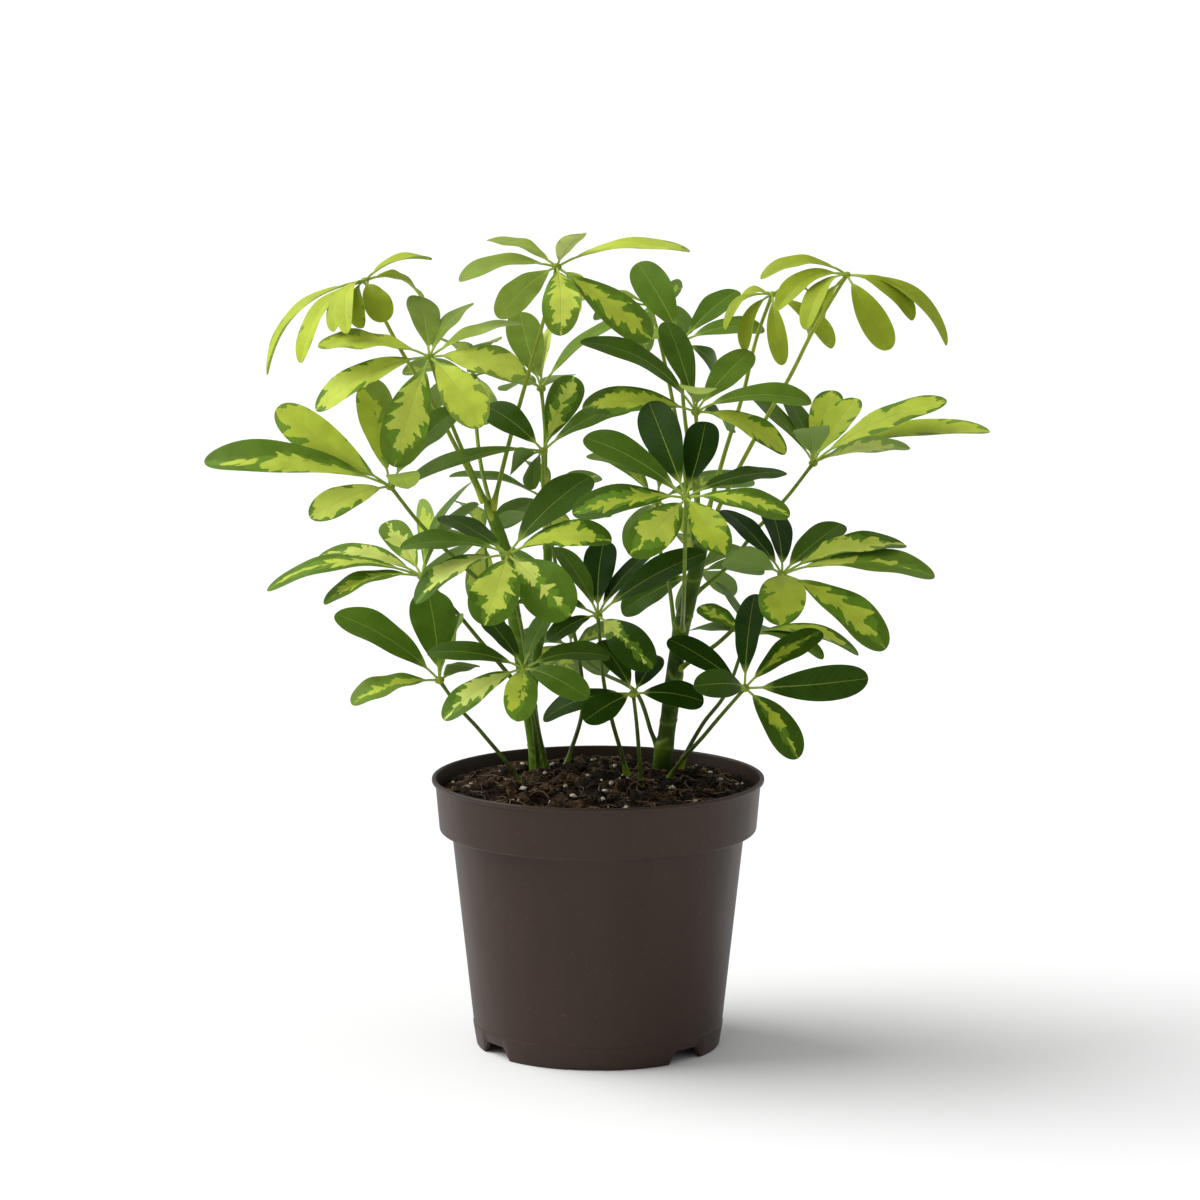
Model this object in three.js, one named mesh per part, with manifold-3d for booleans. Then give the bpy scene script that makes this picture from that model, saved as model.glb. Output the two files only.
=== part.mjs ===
// A potted umbrella plant: a thin plastic nursery pot, its soil, three green stems, and one node for
// each compound leaf, whose leaflets stand round the end of a long leaf stalk like umbrella ribs.
// Millimetres, +Z up. The origin is at the middle of the whole plant's box, on the ground.
import * as THREE from 'three';
import { mergeVertices } from 'three/addons/utils/BufferGeometryUtils.js';
import Module from 'manifold-3d';

const wasm = await Module();
wasm.setup();

// Pot
const POT_HEIGHT = 139.5;
const POT_WALL = 1.5;
const LIP_RADIUS = 85.5;
const LIP_DEPTH = 2.4;
const LIP_INNER_RADIUS = 82.2;
const LIP_ROUND = 0.7;
const COLLAR_TOP_RADIUS = 83.6;
const COLLAR_LOW_RADIUS = 81.5;
const COLLAR_LOW_Z = 113;
const COLLAR_EDGE_RADIUS = 80.9;
const COLLAR_EDGE_Z = 112.2;
const BODY_TOP_RADIUS = 75.2;
const BODY_TOP_Z = 111.3;
const FOOT_RADIUS = 63;
const FOOT_EDGE_ROUND = 1;
const FOOT_WALL = 2.4;
const FLOOR_Z = 8;
const FLOOR_THICK = 1.8;
const POT_SEGMENTS = 32;
const NOTCH_HEIGHT = 6.5;
const NOTCH_WIDTH = 24;
const NOTCH_TOP_WIDTH = 15;
const NOTCH_AZIMUTHS = [-57, 46, 134, -145];
const NOTCH_RUN = 8;
const DRAIN_RADIUS = 5;
const DRAIN_RING_RADIUS = 40;
const DRAIN_COUNT = 6;
const DRAIN_SIDES = 8;

// Soil
const GAP = 0.3;
const SOIL_CLEARANCE = 0.4;
const SOIL_EDGE_Z = 132;
const SOIL_MOUND = 7;
const SOIL_RINGS = 5;
const SOIL_RELIEF = 1.6;
const SOIL_RELIEF_FADE = 6;
const LUMP_SPACING = [30, 37];
const LUMP_SHIFT = [1.3, -0.4];
const SMALL_LUMP_SPACING = [57, 22];
const SMALL_LUMP_SHARE = 0.6;
const ROOTED_DEPTH = 14;

// Leaves
const BLADE_THICK = 0.75;
const STALK_WIDTH = 1.4;
const STALK_START = 1.9;
const STALK_SHARE = 0.12;
const HUB_RADIUS = 3.2;
const PETIOLE_TOP_RADIUS = 1;
const PETIOLE_LOW_RADIUS = 1.25;
const SHEATH_RADIUS = 2;
const SHEATH_LENGTH = 11;
const PETIOLE_SIDES = 5;
const STEM_SIDES = 10;
const BLADE_STATIONS = [0, 0.22, 0.52, 0.82, 1];
const BLADE_TIP_WIDTH = 0.26;
const BLADE_BASE_POWER = 0.95;
const BLADE_TIP_POWER = 0.5;
const LEAN_SHARE = 0.78;
const FLATTER_AWAY = 0.75;
const NARROWER_SHARE = 1.2;

// Stems and leaves are written as the plant is seen from the front. A place is [right, up, front]: right of
// and above the point that the eye looks at, as it is seen, and in front of the pot's axis, in millimetres.
const EYE_DISTANCE = 2400;
const EYE_TILT = THREE.MathUtils.degToRad(8.93);
const TARGET_HEIGHT = 231;
const SOIL_SEEN_UP = -84;

const STEMS = {
  stem_left: {
    radii: [4.6, 3.9, 3.3, 3.2, 3.0],
    path: [[-30.5, -86, -21], [-34, -61, -18], [-44, 0, -8], [-46, 20, -4], [-57, 51, 0]],
  },
  stem_middle: {
    radii: [2.9, 2.6, 2.5, 2.4, 2.2],
    path: [[-30, -84, -33], [-34, -61, -34], [-33, -42, -34], [-26, 10, -30], [-27, 60, -24]],
  },
  stem_right: {
    radii: [4.9, 4.4, 4.2, 4.0, 3.6],
    path: [[33, -87, -20], [36, -61, -18], [42, -18, -12], [51, 20, -6], [55, 42, -2]],
  },
};

// Each leaf: its hub's place, the way of its stalk down to where it is rooted, how long its leaflets are,
// how broad, and how much they arch. A leaflet is [right, up, seen width, turn]: its tip from the hub as it
// is seen, the width that shows, below zero where the underside shows, and from -1, away from the eye, to
// 1, towards it, where the tip lies. Left out, low tips come forward and high ones go back, or the other
// way round on a leaf that faces backwards.
const LEAVES = {
  leaf_young_left: {
    hub: [-119, 163, 10], stalk: [[-102, 130, 8], [-82, 96, 5]], root: [-58, 50, 0],
    reach: 64, width: 15, arch: 0.2,
    leaflets: [[-50, -48, 5], [-33, -42, 8], [-16, -26, 7, 0.7], [-9, -27, 8, 0.9], [-1, -24, 8, 0.6],
      [10, -21, 14, 0.3], [34, 11, 4], [29, -9, 4, -0.5]],
  },
  leaf_upper_left: {
    hub: [-86, 124, 46], stalk: [[-74, 88, 22]], root: [-53, 40, -1],
    reach: 70, width: 23, arch: 0.12,
    leaflets: [[-5, 31, 16], [20, 27, 9, -0.8], [47, 17, 7], [49, -9, 15], [26, -36, 20], [-18, -56, 23],
      [-58, -27, 14], [-57, 6, 8]],
  },
  leaf_upper_left_back: {
    hub: [-64, 114, -64], stalk: [[-60, 70, -36]], root: [-50, 31, -3],
    reach: 62, width: 20, arch: 0.14, faces: -1,
    leaflets: [[4, -24, -10], [-22, -18, -10], [-36, 2, -8], [12, 18, -9], [-14, 18, -9], [30, -4, -8]],
  },
  leaf_crown_top: {
    hub: [-21, 170, 16], stalk: [[-28, 142, 12], [-36, 114, 6], [-45, 82, 2]], root: [-54, 46, 0],
    reach: 62, width: 19, arch: 0.12,
    leaflets: [[-35, 14, 6, -0.5], [-50, -7, 7], [-30, -26, 15], [2, -35, 19], [48, -37, 18], [68, 8, 6],
      [12, 17, -10, 0.3], [12, -20, 9, -0.9]],
  },
  leaf_crown_back: {
    hub: [-29, 108, -40], stalk: [[-27, 86, -30]], root: [-27, 58, -24],
    reach: 64, width: 20, arch: 0.12,
    leaflets: [[-11, 39, 19], [6, 34, 7], [44, 37, 7, -0.5], [14, 7, 6, -1], [-18, -1, 4, -0.9],
      [-38, 9, 5, 0.1]],
  },
  leaf_upper_right: {
    hub: [50, 96, 34], stalk: [[51, 68, 22]], root: [51, 24, -6],
    reach: 66, width: 19, arch: 0.14,
    leaflets: [[-59, 36, 11], [-58, 2, 13], [-15, 46, 15], [28, 31, 15], [59, 5, 10], [46, -21, 11],
      [1, 9, -19, 0.8], [16, -9, 5, -0.6]],
  },
  leaf_upper_right_back: {
    hub: [43, 132, -45], stalk: [[43, 108, -34], [47, 72, -22]], root: [53, 33, -4],
    reach: 60, width: 19, arch: 0.12,
    leaflets: [[-23, 40, 19], [28, 26, 13], [42, 6, 9], [-28, 2, 7, -0.8], [18, -18, 9, -0.8]],
  },
  leaf_crown_far: {
    hub: [27, 150, -85], stalk: [[33, 126, -70], [42, 80, -44]], root: [50, 20, -6],
    reach: 56, width: 17, arch: 0.14, faces: -1,
    leaflets: [[-36, 3, -5], [-29, -7, -5], [-8, 18, -10, -0.6], [16, 10, -8, -0.5], [20, -14, -10],
      [-2, -24, -12]],
  },
  leaf_young_small: {
    hub: [89, 156, -8], stalk: [[81, 134, -10], [74, 105, -12], [65, 76, -12]], root: [55, 41, -2],
    reach: 40, width: 10, arch: 0.24,
    leaflets: [[-17, -4, 4, -0.2], [-24, -18, 4], [-14, -29, 7], [5, -36, 10], [18, -23, 6, -0.7],
      [31, -27, 9, 0.2], [20, 0, 4, -0.5]],
  },
  leaf_young_right: {
    hub: [127, 166, 8], stalk: [[109, 136, 8], [99, 116, 8], [82, 86, 8], [65, 54, 5]], root: [52, 26, -5],
    reach: 62, width: 15, arch: 0.2,
    leaflets: [[-44, -2, 5], [-36, -18, 9], [-21, -28, 8], [-10, -27, 8, -0.8], [22, -38, 15, 0.4],
      [34, -23, 8, 0.2], [51, -36, 6]],
  },
  leaf_right_upper: {
    hub: [110, 70, -16], stalk: [[96, 52, -22], [81, 36, -26], [66, 17, -24]], root: [46, 0, -9],
    reach: 74, width: 20, arch: 0.1,
    leaflets: [[9, 37, 17], [22, 33, 15, -0.4], [68, 32, 12, -0.6], [90, 16, 8], [49, 8, -8, 0.5],
      [-31, 35, 7], [-14, 34, 11, -0.9], [-2, 18, -19, 0.7]],
  },
  leaf_left_upper: {
    hub: [-106, 58, 46], stalk: [[-91, 39, 36], [-75, 23, 22]], root: [-45, -4, -8],
    reach: 78, width: 20, arch: 0.12,
    leaflets: [[-95, 13, 16], [-58, 40, 20], [-10, 55, 19], [-41, -16, 14], [34, 39, 13, -0.45],
      [9, -1, 4, 0.9]],
  },
  leaf_middle_upper: {
    hub: [-28, 76, 26], stalk: [[-28, 58, 10]], root: [-26, 36, -27],
    reach: 76, width: 18, arch: 0.12,
    leaflets: [[-29, 23, 15], [16, 38, 18], [-70, -17, 8, 0.6], [47, 24, 10], [18, 26, 7, -0.8],
      [-16, -9, -10, 0.6], [-4, -19, 7, 0.4]],
  },
  leaf_middle_back: {
    hub: [-27, 51, -72], stalk: [[-22, 20, -58], [-10, -28, -56], [-8, -56, -54]], root: [-17, -88, -36],
    reach: 58, width: 18, arch: 0.12, faces: -1,
    leaflets: [[-49, 12, 5], [-24, -14, -12], [8, -24, -12], [28, 12, -9], [-10, 20, -9], [34, -8, -9]],
  },
  leaf_left_lower: {
    hub: [-90, 12, -14], stalk: [[-76, -2, -14], [-60, -21, -15]], root: [-39, -46, -17],
    reach: 70, width: 19, arch: 0.14,
    leaflets: [[-79, -7, 8], [-52, 11, 10, -0.5], [-50, -14, 8], [-18, 28, 15], [-1, 39, -9],
      [25, 48, 5], [29, 37, -5, -0.4]],
  },
  leaf_front_left: {
    hub: [-46, 23, 78], stalk: [[-42, 0, 56], [-38, -20, 34], [-34, -51, 4]], root: [-26, -89, -14],
    reach: 72, width: 27, arch: 0.12,
    leaflets: [[-55, 4, 8], [-33, 20, 10, -0.8], [42, 40, 17], [53, 7, 13, 0.3], [32, -31, 27],
      [-12, -36, 24], [-47, -25, 11]],
  },
  leaf_front_right: {
    hub: [45, 52, 84], stalk: [[44, 9, 58]], root: [43, -16, -11],
    reach: 74, width: 20, arch: 0.12,
    leaflets: [[-19, 49, 20], [10, 39, 17], [51, 13, 9, -0.5], [53, -9, 11], [20, -29, 16], [-29, -29, 20],
      [-58, -8, 14, 0.3], [-52, 31, 14, -0.4], [-50, 22, 9, -0.9]],
  },
  leaf_right_middle: {
    hub: [94, 13, 40], stalk: [[82, -2, 30], [73, -11, 22], [60, -23, 8]], root: [40, -36, -14],
    reach: 76, width: 24, arch: 0.12,
    leaflets: [[-30, 33, 11], [-7, 37, 14], [30, 26, 14], [63, 15, 12, -0.6], [78, -1, 11], [53, -38, 17],
      [-1, -26, 24], [-29, 8, -14, 0.2]],
  },
  leaf_middle_dark: {
    hub: [0, -8, 32], stalk: [[3, -42, 16], [7, -61, 4]], root: [15, -91, -4],
    reach: 66, width: 19, arch: 0.12,
    leaflets: [[3, 38, 17], [27, 33, 9, -0.9], [55, 32, 14], [28, -27, 19], [-25, -13, 9], [-21, 35, 11],
      [-41, 7, 7]],
  },
  leaf_low_middle: {
    hub: [18, -48, 46], stalk: [[20, -66, 32]], root: [22, -97, 16],
    reach: 52, width: 17, arch: 0.14,
    leaflets: [[-25, -14, 14], [-46, -13, 11, -0.2], [36, -4, 14], [-17, 27, 13], [11, 20, 13, -1]],
  },
  leaf_low_front: {
    hub: [-38, -35, 76], stalk: [[-33, -62, 38]], root: [-30.5, -88, -8],
    reach: 62, width: 18, arch: 0.12,
    leaflets: [[-49, 8, 11], [-41, -26, 13], [-3, -27, 17], [33, -15, 14, 0.8], [44, 6, 10], [14, 30, 9],
      [-20, 27, 10]],
  },
  leaf_low_left: {
    hub: [-81, -41, 26], stalk: [[-71, -55, 24], [-60, -67, 22]], root: [-37, -98, 16],
    reach: 66, width: 23, arch: 0.1,
    leaflets: [[-53, 34, 17], [-45, -12, 10], [-6, 46, 23, -0.7], [18, 8, 7, -0.3], [11, 34, 7, -0.4]],
  },
  leaf_low_right: {
    hub: [75, -45, 62], stalk: [[56, -67, 36]], root: [36, -93, 2],
    reach: 64, width: 18, arch: 0.1,
    leaflets: [[-39, 25, 13], [5, 48, 14], [39, 29, 13, -0.6], [63, 5, 18], [27, -36, 16],
      [-26, 1, 14, 0.9]],
  },
  leaf_low_right_back: {
    hub: [76, -18, -58], stalk: [[65, -48, -44], [53, -64, -36]], root: [42, -86, -28],
    reach: 58, width: 17, arch: 0.14,
    leaflets: [[-15, 27, 4], [-24, 15, 10, -0.8], [-28, 3, 5, -0.8], [14, 3, 6, -1], [39, -12, 6],
      [57, -10, 7, -0.4]],
  },
  leaf_right_far: {
    hub: [51, 14, -72], stalk: [[45, 0, -52]], root: [43, -12, -14],
    reach: 58, width: 17, arch: 0.12, faces: -1,
    leaflets: [[-39, -20, 14], [18, -12, -10], [-10, 20, -10], [24, 12, -9], [-6, -24, -10], [34, 0, -8]],
  },
  leaf_middle_far: {
    hub: [30, 50, -100], stalk: [[31, 29, -84], [36, 9, -56]], root: [40, -22, -13],
    reach: 62, width: 19, arch: 0.12, faces: -1,
    leaflets: [[-40, -4, -12], [-4, 40, -14], [50, 10, -10], [30, -24, -14], [-13, -26, -14],
      [-35, 31, -12]],
  },
  leaf_left_far: {
    hub: [-58, 30, -88], stalk: [[-56, 10, -68], [-50, -8, -40]], root: [-42, -24, -14],
    reach: 60, width: 19, arch: 0.12, faces: -1,
    leaflets: [[-38, -4, -9], [-14, 20, -9], [24, 14, -9], [34, -30, -14], [0, -36, -16], [-31, -28, -10]],
  },
  leaf_low_far: {
    hub: [-14, -24, -84], stalk: [[0, -36, -66], [20, -48, -34], [27, -67, -21]], root: [32, -79, -18],
    reach: 54, width: 17, arch: 0.12, faces: -1,
    leaflets: [[-28, 6, -9], [26, 8, -9], [-8, 18, -9], [-22, -12, -12], [18, -14, -12], [0, -20, -14]],
  },
};

// Leaves that would cross are bent apart: samples of two leaves that cover each other as seen are moved
// along the line of sight until the one in front is clear of the other.
const BLADE_SAMPLES = [0.3, 0.5, 0.7, 0.9];
const STALK_SAMPLE_STEP = 8;
const STALK_SAMPLE_RADIUS = 2;
const SETTLE_ROUNDS = 160;
const SETTLE_CLEARANCE = 2.2;
const SETTLE_SHARE = 0.35;
const SETTLE_DEPTH_SHARE = 0.25;
const HUB_STEP = 1;
const TIP_STEP = 2;

const LEAF_FINISH = { color: '#3f6f26', roughness: 0.35 };
const YOUNG_LEAF_FINISH = { color: '#9db53a', roughness: 0.35 };
const STEM_FINISH = { color: '#6f8f2c', roughness: 0.5 };
const POT_FINISH = { color: '#5d5450', roughness: 0.55 };
const SOIL_FINISH = { color: '#2c1d14', roughness: 1 };

const MERGE_DISTANCE = 1e-4;
const UP = new THREE.Vector3(0, 0, 1);
const VIEW_UP = new THREE.Vector3(0, Math.sin(EYE_TILT), Math.cos(EYE_TILT));
const VIEW_BACK = new THREE.Vector3(0, Math.cos(EYE_TILT), -Math.sin(EYE_TILT));
const TARGET = new THREE.Vector3(0, 0, TARGET_HEIGHT);
const EYE = TARGET.clone().addScaledVector(VIEW_BACK, -EYE_DISTANCE);

// The point seen at (right, up) that lies front mm before the pot's axis.
function place([right, up, front]) {
  const ray = TARGET.clone().addScaledVector(VIEW_UP, up).sub(EYE);
  ray.x += right;
  return EYE.clone().addScaledVector(ray, (-front - EYE.y) / ray.y);
}

// A closed body through rings of the same number of points, split alike on its top and its underside.
function loft(rings) {
  const sides = rings[0].length;
  const position = rings.flat().flatMap((p) => [p.x, p.y, p.z]);
  const index = [];
  for (let ring = 0; ring < rings.length - 1; ring += 1) {
    for (let side = 0; side < sides; side += 1) {
      const a = ring * sides + side;
      const b = ring * sides + (side + 1) % sides;
      const c = a + sides;
      const d = b + sides;
      if (side < sides / 2) index.push(a, b, d, a, d, c);
      else index.push(a, b, c, b, d, c);
    }
  }
  const last = (rings.length - 1) * sides;
  for (let side = 1; side < sides - 1; side += 1) {
    index.push(0, side + 1, side);
    index.push(last, last + side, last + side + 1);
  }
  const geometry = new THREE.BufferGeometry();
  geometry.setAttribute('position', new THREE.Float32BufferAttribute(position, 3));
  geometry.setIndex(index);
  return geometry;
}

// A round tube along points, each with its own radius.
function tube(points, radii, sides) {
  const curve = new THREE.CatmullRomCurve3(points, false, 'centripetal');
  const rings = points.map((point, i) => {
    const tangent = curve.getTangent(i / (points.length - 1));
    const across = new THREE.Vector3().crossVectors(tangent, VIEW_BACK).normalize();
    const other = new THREE.Vector3().crossVectors(tangent, across);
    return Array.from({ length: sides }, (_, k) => {
      const angle = (2 * Math.PI * k) / sides;
      return point.clone().addScaledVector(across, radii[i] * Math.cos(angle))
        .addScaledVector(other, radii[i] * Math.sin(angle));
    });
  });
  return loft(rings);
}

// A closed geometry as a solid that can be joined and cut.
function solid(geometry) {
  const bare = geometry.clone();
  bare.deleteAttribute('normal');
  bare.deleteAttribute('uv');
  const merged = mergeVertices(bare, MERGE_DISTANCE);
  return new wasm.Manifold(new wasm.Mesh({
    numProp: 3,
    vertProperties: new Float32Array(merged.attributes.position.array),
    triVerts: new Uint32Array(merged.index.array),
  }));
}

// A solid as a named mesh.
function part(name, body, finish) {
  const result = body.getMesh();
  const geometry = new THREE.BufferGeometry();
  geometry.setAttribute('position', new THREE.Float32BufferAttribute(result.vertProperties, 3));
  geometry.setIndex(Array.from(result.triVerts));
  geometry.computeVertexNormals();
  const mesh = new THREE.Mesh(geometry, new THREE.MeshStandardMaterial({ ...finish, metalness: 0 }));
  mesh.name = name;
  return mesh;
}

// A leaf's points as built: hub, stalk and leaflet tips, with the depth of each tip worked out.
function layOut(name, leaf) {
  const [right, up, front] = leaf.hub;
  const leaflets = leaf.leaflets.map(([dx, dz, seen, turn]) => {
    const span = Math.hypot(dx, dz);
    const lean = turn ?? (-(leaf.faces ?? 1) * dz) / span;
    const toward = LEAN_SHARE * lean * Math.sqrt(Math.max(leaf.reach ** 2 - span ** 2, 0));
    return { dx, dz, seen, toward };
  });
  return { ...leaf, name, right, up, front, leaflets };
}

// The blade's width at t along it, as a share of its greatest width: slim base, broad past the middle.
function bladeShape(t) {
  const crest = BLADE_BASE_POWER / (BLADE_BASE_POWER + BLADE_TIP_POWER);
  const grow = (x) => x ** BLADE_BASE_POWER * (1 - x) ** BLADE_TIP_POWER;
  return grow(t) / grow(crest);
}

// Points along each leaflet of a leaf, with half the width that shows and how deep the blade leans.
function bladeSamples(leaf, leafIndex) {
  return leaf.leaflets.flatMap((leaflet, leafletIndex) => BLADE_SAMPLES.map((t) => ({
    leafIndex,
    leafletIndex,
    t,
    x: leaf.right + leaflet.dx * t,
    z: leaf.up + leaflet.dz * t,
    depth: leaf.front + leaflet.toward * t,
    radius: Math.abs(leaflet.seen) / 2,
    deep: SETTLE_DEPTH_SHARE * Math.sqrt(Math.max(leaf.width ** 2 - leaflet.seen ** 2, 0)),
  })));
}

// Points along a stalk or a stem.
function lineSamples(points, radius, leafIndex) {
  const samples = [];
  for (let i = 0; i < points.length - 1; i += 1) {
    const [a, b] = [points[i], points[i + 1]];
    const steps = Math.ceil(Math.hypot(b[0] - a[0], b[1] - a[1], b[2] - a[2]) / STALK_SAMPLE_STEP);
    for (let k = 0; k < steps; k += 1) {
      const t = (k + 0.5) / steps;
      const at = a.map((value, axis) => value + (b[axis] - value) * t);
      samples.push({ leafIndex, leafletIndex: -1, x: at[0], z: at[1], depth: at[2], radius, deep: 0 });
    }
  }
  return samples;
}

// Moves hubs and tips along the line of sight until no two leaves cross.
function settle(leaves) {
  for (let round = 0; round < SETTLE_ROUNDS; round += 1) {
    const samples = leaves.flatMap(bladeSamples);
    leaves.forEach((leaf, i) => {
      samples.push(...lineSamples([[leaf.right, leaf.up, leaf.front], ...leaf.stalk, leaf.root],
        STALK_SAMPLE_RADIUS, i));
    });
    Object.values(STEMS).forEach((stem, i) => {
      const radius = stem.radii[Math.floor(stem.radii.length / 2)];
      samples.push(...lineSamples(stem.path, radius, leaves.length + i));
    });
    const pairs = new Map();
    samples.forEach((a, i) => {
      for (let j = i + 1; j < samples.length; j += 1) {
        const b = samples[j];
        if (a.leafIndex === b.leafIndex || (a.leafletIndex < 0 && b.leafletIndex < 0)) continue;
        const reach = a.radius + b.radius;
        const off = Math.hypot(a.x - b.x, a.z - b.z);
        if (off >= reach) continue;
        const key = `${a.leafIndex} ${a.leafletIndex} ${b.leafIndex} ${b.leafletIndex}`;
        if (!pairs.has(key)) pairs.set(key, { order: 0, touching: [] });
        const pair = pairs.get(key);
        pair.order += a.depth - b.depth;
        pair.touching.push([a, b]);
      }
    });
    const pushes = leaves.map((leaf) => ({ hub: 0, tips: leaf.leaflets.map(() => 0) }));
    for (const { order, touching } of pairs.values()) {
      const sign = order < 0 ? -1 : 1;
      for (const [a, b] of touching) {
        const wanted = SETTLE_CLEARANCE + a.deep + b.deep + (a.leafletIndex < 0 ? a.radius : 0)
          + (b.leafletIndex < 0 ? b.radius : 0);
        const short = wanted - sign * (a.depth - b.depth);
        if (short <= 0) continue;
        push(pushes, a, sign * short * SETTLE_SHARE);
        push(pushes, b, -sign * short * SETTLE_SHARE);
      }
    }
    leaves.forEach((leaf, i) => {
      leaf.front += THREE.MathUtils.clamp(pushes[i].hub / leaf.leaflets.length, -HUB_STEP, HUB_STEP);
      leaf.leaflets.forEach((leaflet, k) => {
        leaflet.toward += THREE.MathUtils.clamp(pushes[i].tips[k], -TIP_STEP, TIP_STEP);
      });
    });
  }
}

// Shares a push out between the leaflet's tip and its leaf's hub. Stalks and stems stay where they are.
function push(pushes, sample, amount) {
  if (sample.leafletIndex < 0) return;
  pushes[sample.leafIndex].tips[sample.leafletIndex] += amount * sample.t;
  pushes[sample.leafIndex].hub += amount * (1 - sample.t);
}

// The leaflet's midrib from hub to tip, and the way its blade faces, from how wide it is seen. A blade that
// points towards or away from the eye is narrow rather than rolled, as its outline stays even.
function leafletFrame(leaf, leaflet) {
  const hub = place([leaf.right, leaf.up, leaf.front]);
  const tip = place([leaf.right + leaflet.dx, leaf.up + leaflet.dz, leaf.front + leaflet.toward]);
  const sight = hub.clone().sub(EYE).normalize();
  const along = tip.clone().sub(hub).normalize();
  const flat = new THREE.Vector3().crossVectors(sight, along).normalize();
  const deep = new THREE.Vector3().crossVectors(along, flat);
  const length = hub.distanceTo(tip);
  const seen = Math.min(Math.abs(leaflet.seen), leaf.width);
  const narrower = Math.min((NARROWER_SHARE * Math.abs(leaflet.toward) * seen) / (length * leaf.width), 1);
  const width = THREE.MathUtils.lerp(leaf.width, seen, narrower);
  const roll = Math.acos(Math.min(seen / width, 1));
  const showing = leaflet.seen > 0 ? -1 : 1;
  let side = null;
  let normal = null;
  for (const turn of [roll, -roll]) {
    const across = flat.clone().multiplyScalar(Math.cos(turn)).addScaledVector(deep, Math.sin(turn));
    const facing = new THREE.Vector3().crossVectors(across, along);
    facing.multiplyScalar(Math.sign(facing.dot(sight)) * showing || 1);
    if (normal === null || facing.z > normal.z) {
      normal = facing;
      side = new THREE.Vector3().crossVectors(along, facing);
    }
  }
  const away = leaflet.dz > 0 ? Math.max(-leaflet.toward / length, 0) : 0;
  const arch = leaf.arch * (1 - FLATTER_AWAY * away);
  const lift = hub.clone().lerp(tip, 0.5).addScaledVector(normal, 2 * arch * length);
  return { curve: new THREE.QuadraticBezierCurve3(hub, lift, tip), side, width };
}

// One leaflet: a slim stalk that widens into a flat blade bent over the midrib's arch.
function leafletBody(leaf, leaflet) {
  const { curve, side, width: full } = leafletFrame(leaf, leaflet);
  const section = (t, width) => {
    const at = curve.getPoint(t);
    const tangent = curve.getTangent(t);
    const across = side.clone().addScaledVector(tangent, -side.dot(tangent)).normalize();
    const normal = new THREE.Vector3().crossVectors(tangent, across);
    return [[-1, 1], [1, 1], [1, -1], [-1, -1]].map(([u, v]) => at.clone()
      .addScaledVector(across, (u * width) / 2)
      .addScaledVector(normal, (-v * BLADE_THICK) / 2));
  };
  const rings = [section(STALK_START / curve.getLength(), STALK_WIDTH)];
  for (const share of BLADE_STATIONS) {
    const t = STALK_SHARE + (1 - STALK_SHARE) * share;
    const width = share === 0 ? STALK_WIDTH : full * Math.max(bladeShape(share), BLADE_TIP_WIDTH);
    rings.push(section(t, width));
  }
  return solid(loft(rings));
}

// The leaf stalk, rooted in its stem or sunk in the soil, a little swollen at its foot.
function stalkBody(leaf, extra) {
  const hub = place([leaf.right, leaf.up, leaf.front]);
  const way = [hub, ...leaf.stalk.map(place), place(leaf.root)];
  const foot = way[way.length - 1];
  const before = way[way.length - 2];
  if (inSoil(leaf)) way.push(foot.clone().addScaledVector(UP, -ROOTED_DEPTH));
  else way.splice(way.length - 1, 0, foot.clone().lerp(before, SHEATH_LENGTH / foot.distanceTo(before)));
  const radii = way.map((_, i) => THREE.MathUtils.lerp(PETIOLE_TOP_RADIUS, PETIOLE_LOW_RADIUS,
    i / (way.length - 1)) + extra);
  if (!inSoil(leaf)) radii[radii.length - 1] = SHEATH_RADIUS + extra;
  return solid(tube(way, radii, PETIOLE_SIDES));
}

// Whether the stalk rises out of the soil instead of out of a stem.
function inSoil(leaf) {
  return leaf.root[1] < SOIL_SEEN_UP;
}

// A stem, sunk in the soil at its foot.
function stemBody(stem, extra) {
  const way = stem.path.map(place);
  way.unshift(way[0].clone().addScaledVector(UP, -ROOTED_DEPTH - extra));
  const radii = [stem.radii[0], ...stem.radii].map((radius) => radius + extra);
  return solid(tube(way, radii, STEM_SIDES));
}

function hubBody(leaf) {
  const geometry = new THREE.IcosahedronGeometry(HUB_RADIUS, 0);
  geometry.translate(...place([leaf.right, leaf.up, leaf.front]).toArray());
  return solid(geometry);
}

// A cut can leave a loose scrap on the far side of a stem, which is dropped.
function largest(body) {
  return body.decompose().reduce((best, piece) => (piece.volume() > best.volume() ? piece : best));
}

// A whole compound leaf, cut clear of the stems.
function leafBody(leaf, thickStems) {
  const pieces = [hubBody(leaf), stalkBody(leaf, 0), ...leaf.leaflets.map((one) => leafletBody(leaf, one))];
  let body = pieces.reduce((whole, piece) => whole.add(piece));
  for (const stem of thickStems) body = body.subtract(stem);
  return largest(body);
}

// The pot's wall from inside, from its floor up to the lip: [radius, height].
const INNER_WALL = [
  [FOOT_RADIUS - POT_WALL, FLOOR_Z + FLOOR_THICK], [BODY_TOP_RADIUS - POT_WALL, BODY_TOP_Z + POT_WALL],
  [COLLAR_LOW_RADIUS - POT_WALL, COLLAR_LOW_Z + POT_WALL], [LIP_INNER_RADIUS, POT_HEIGHT - LIP_ROUND],
];

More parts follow.
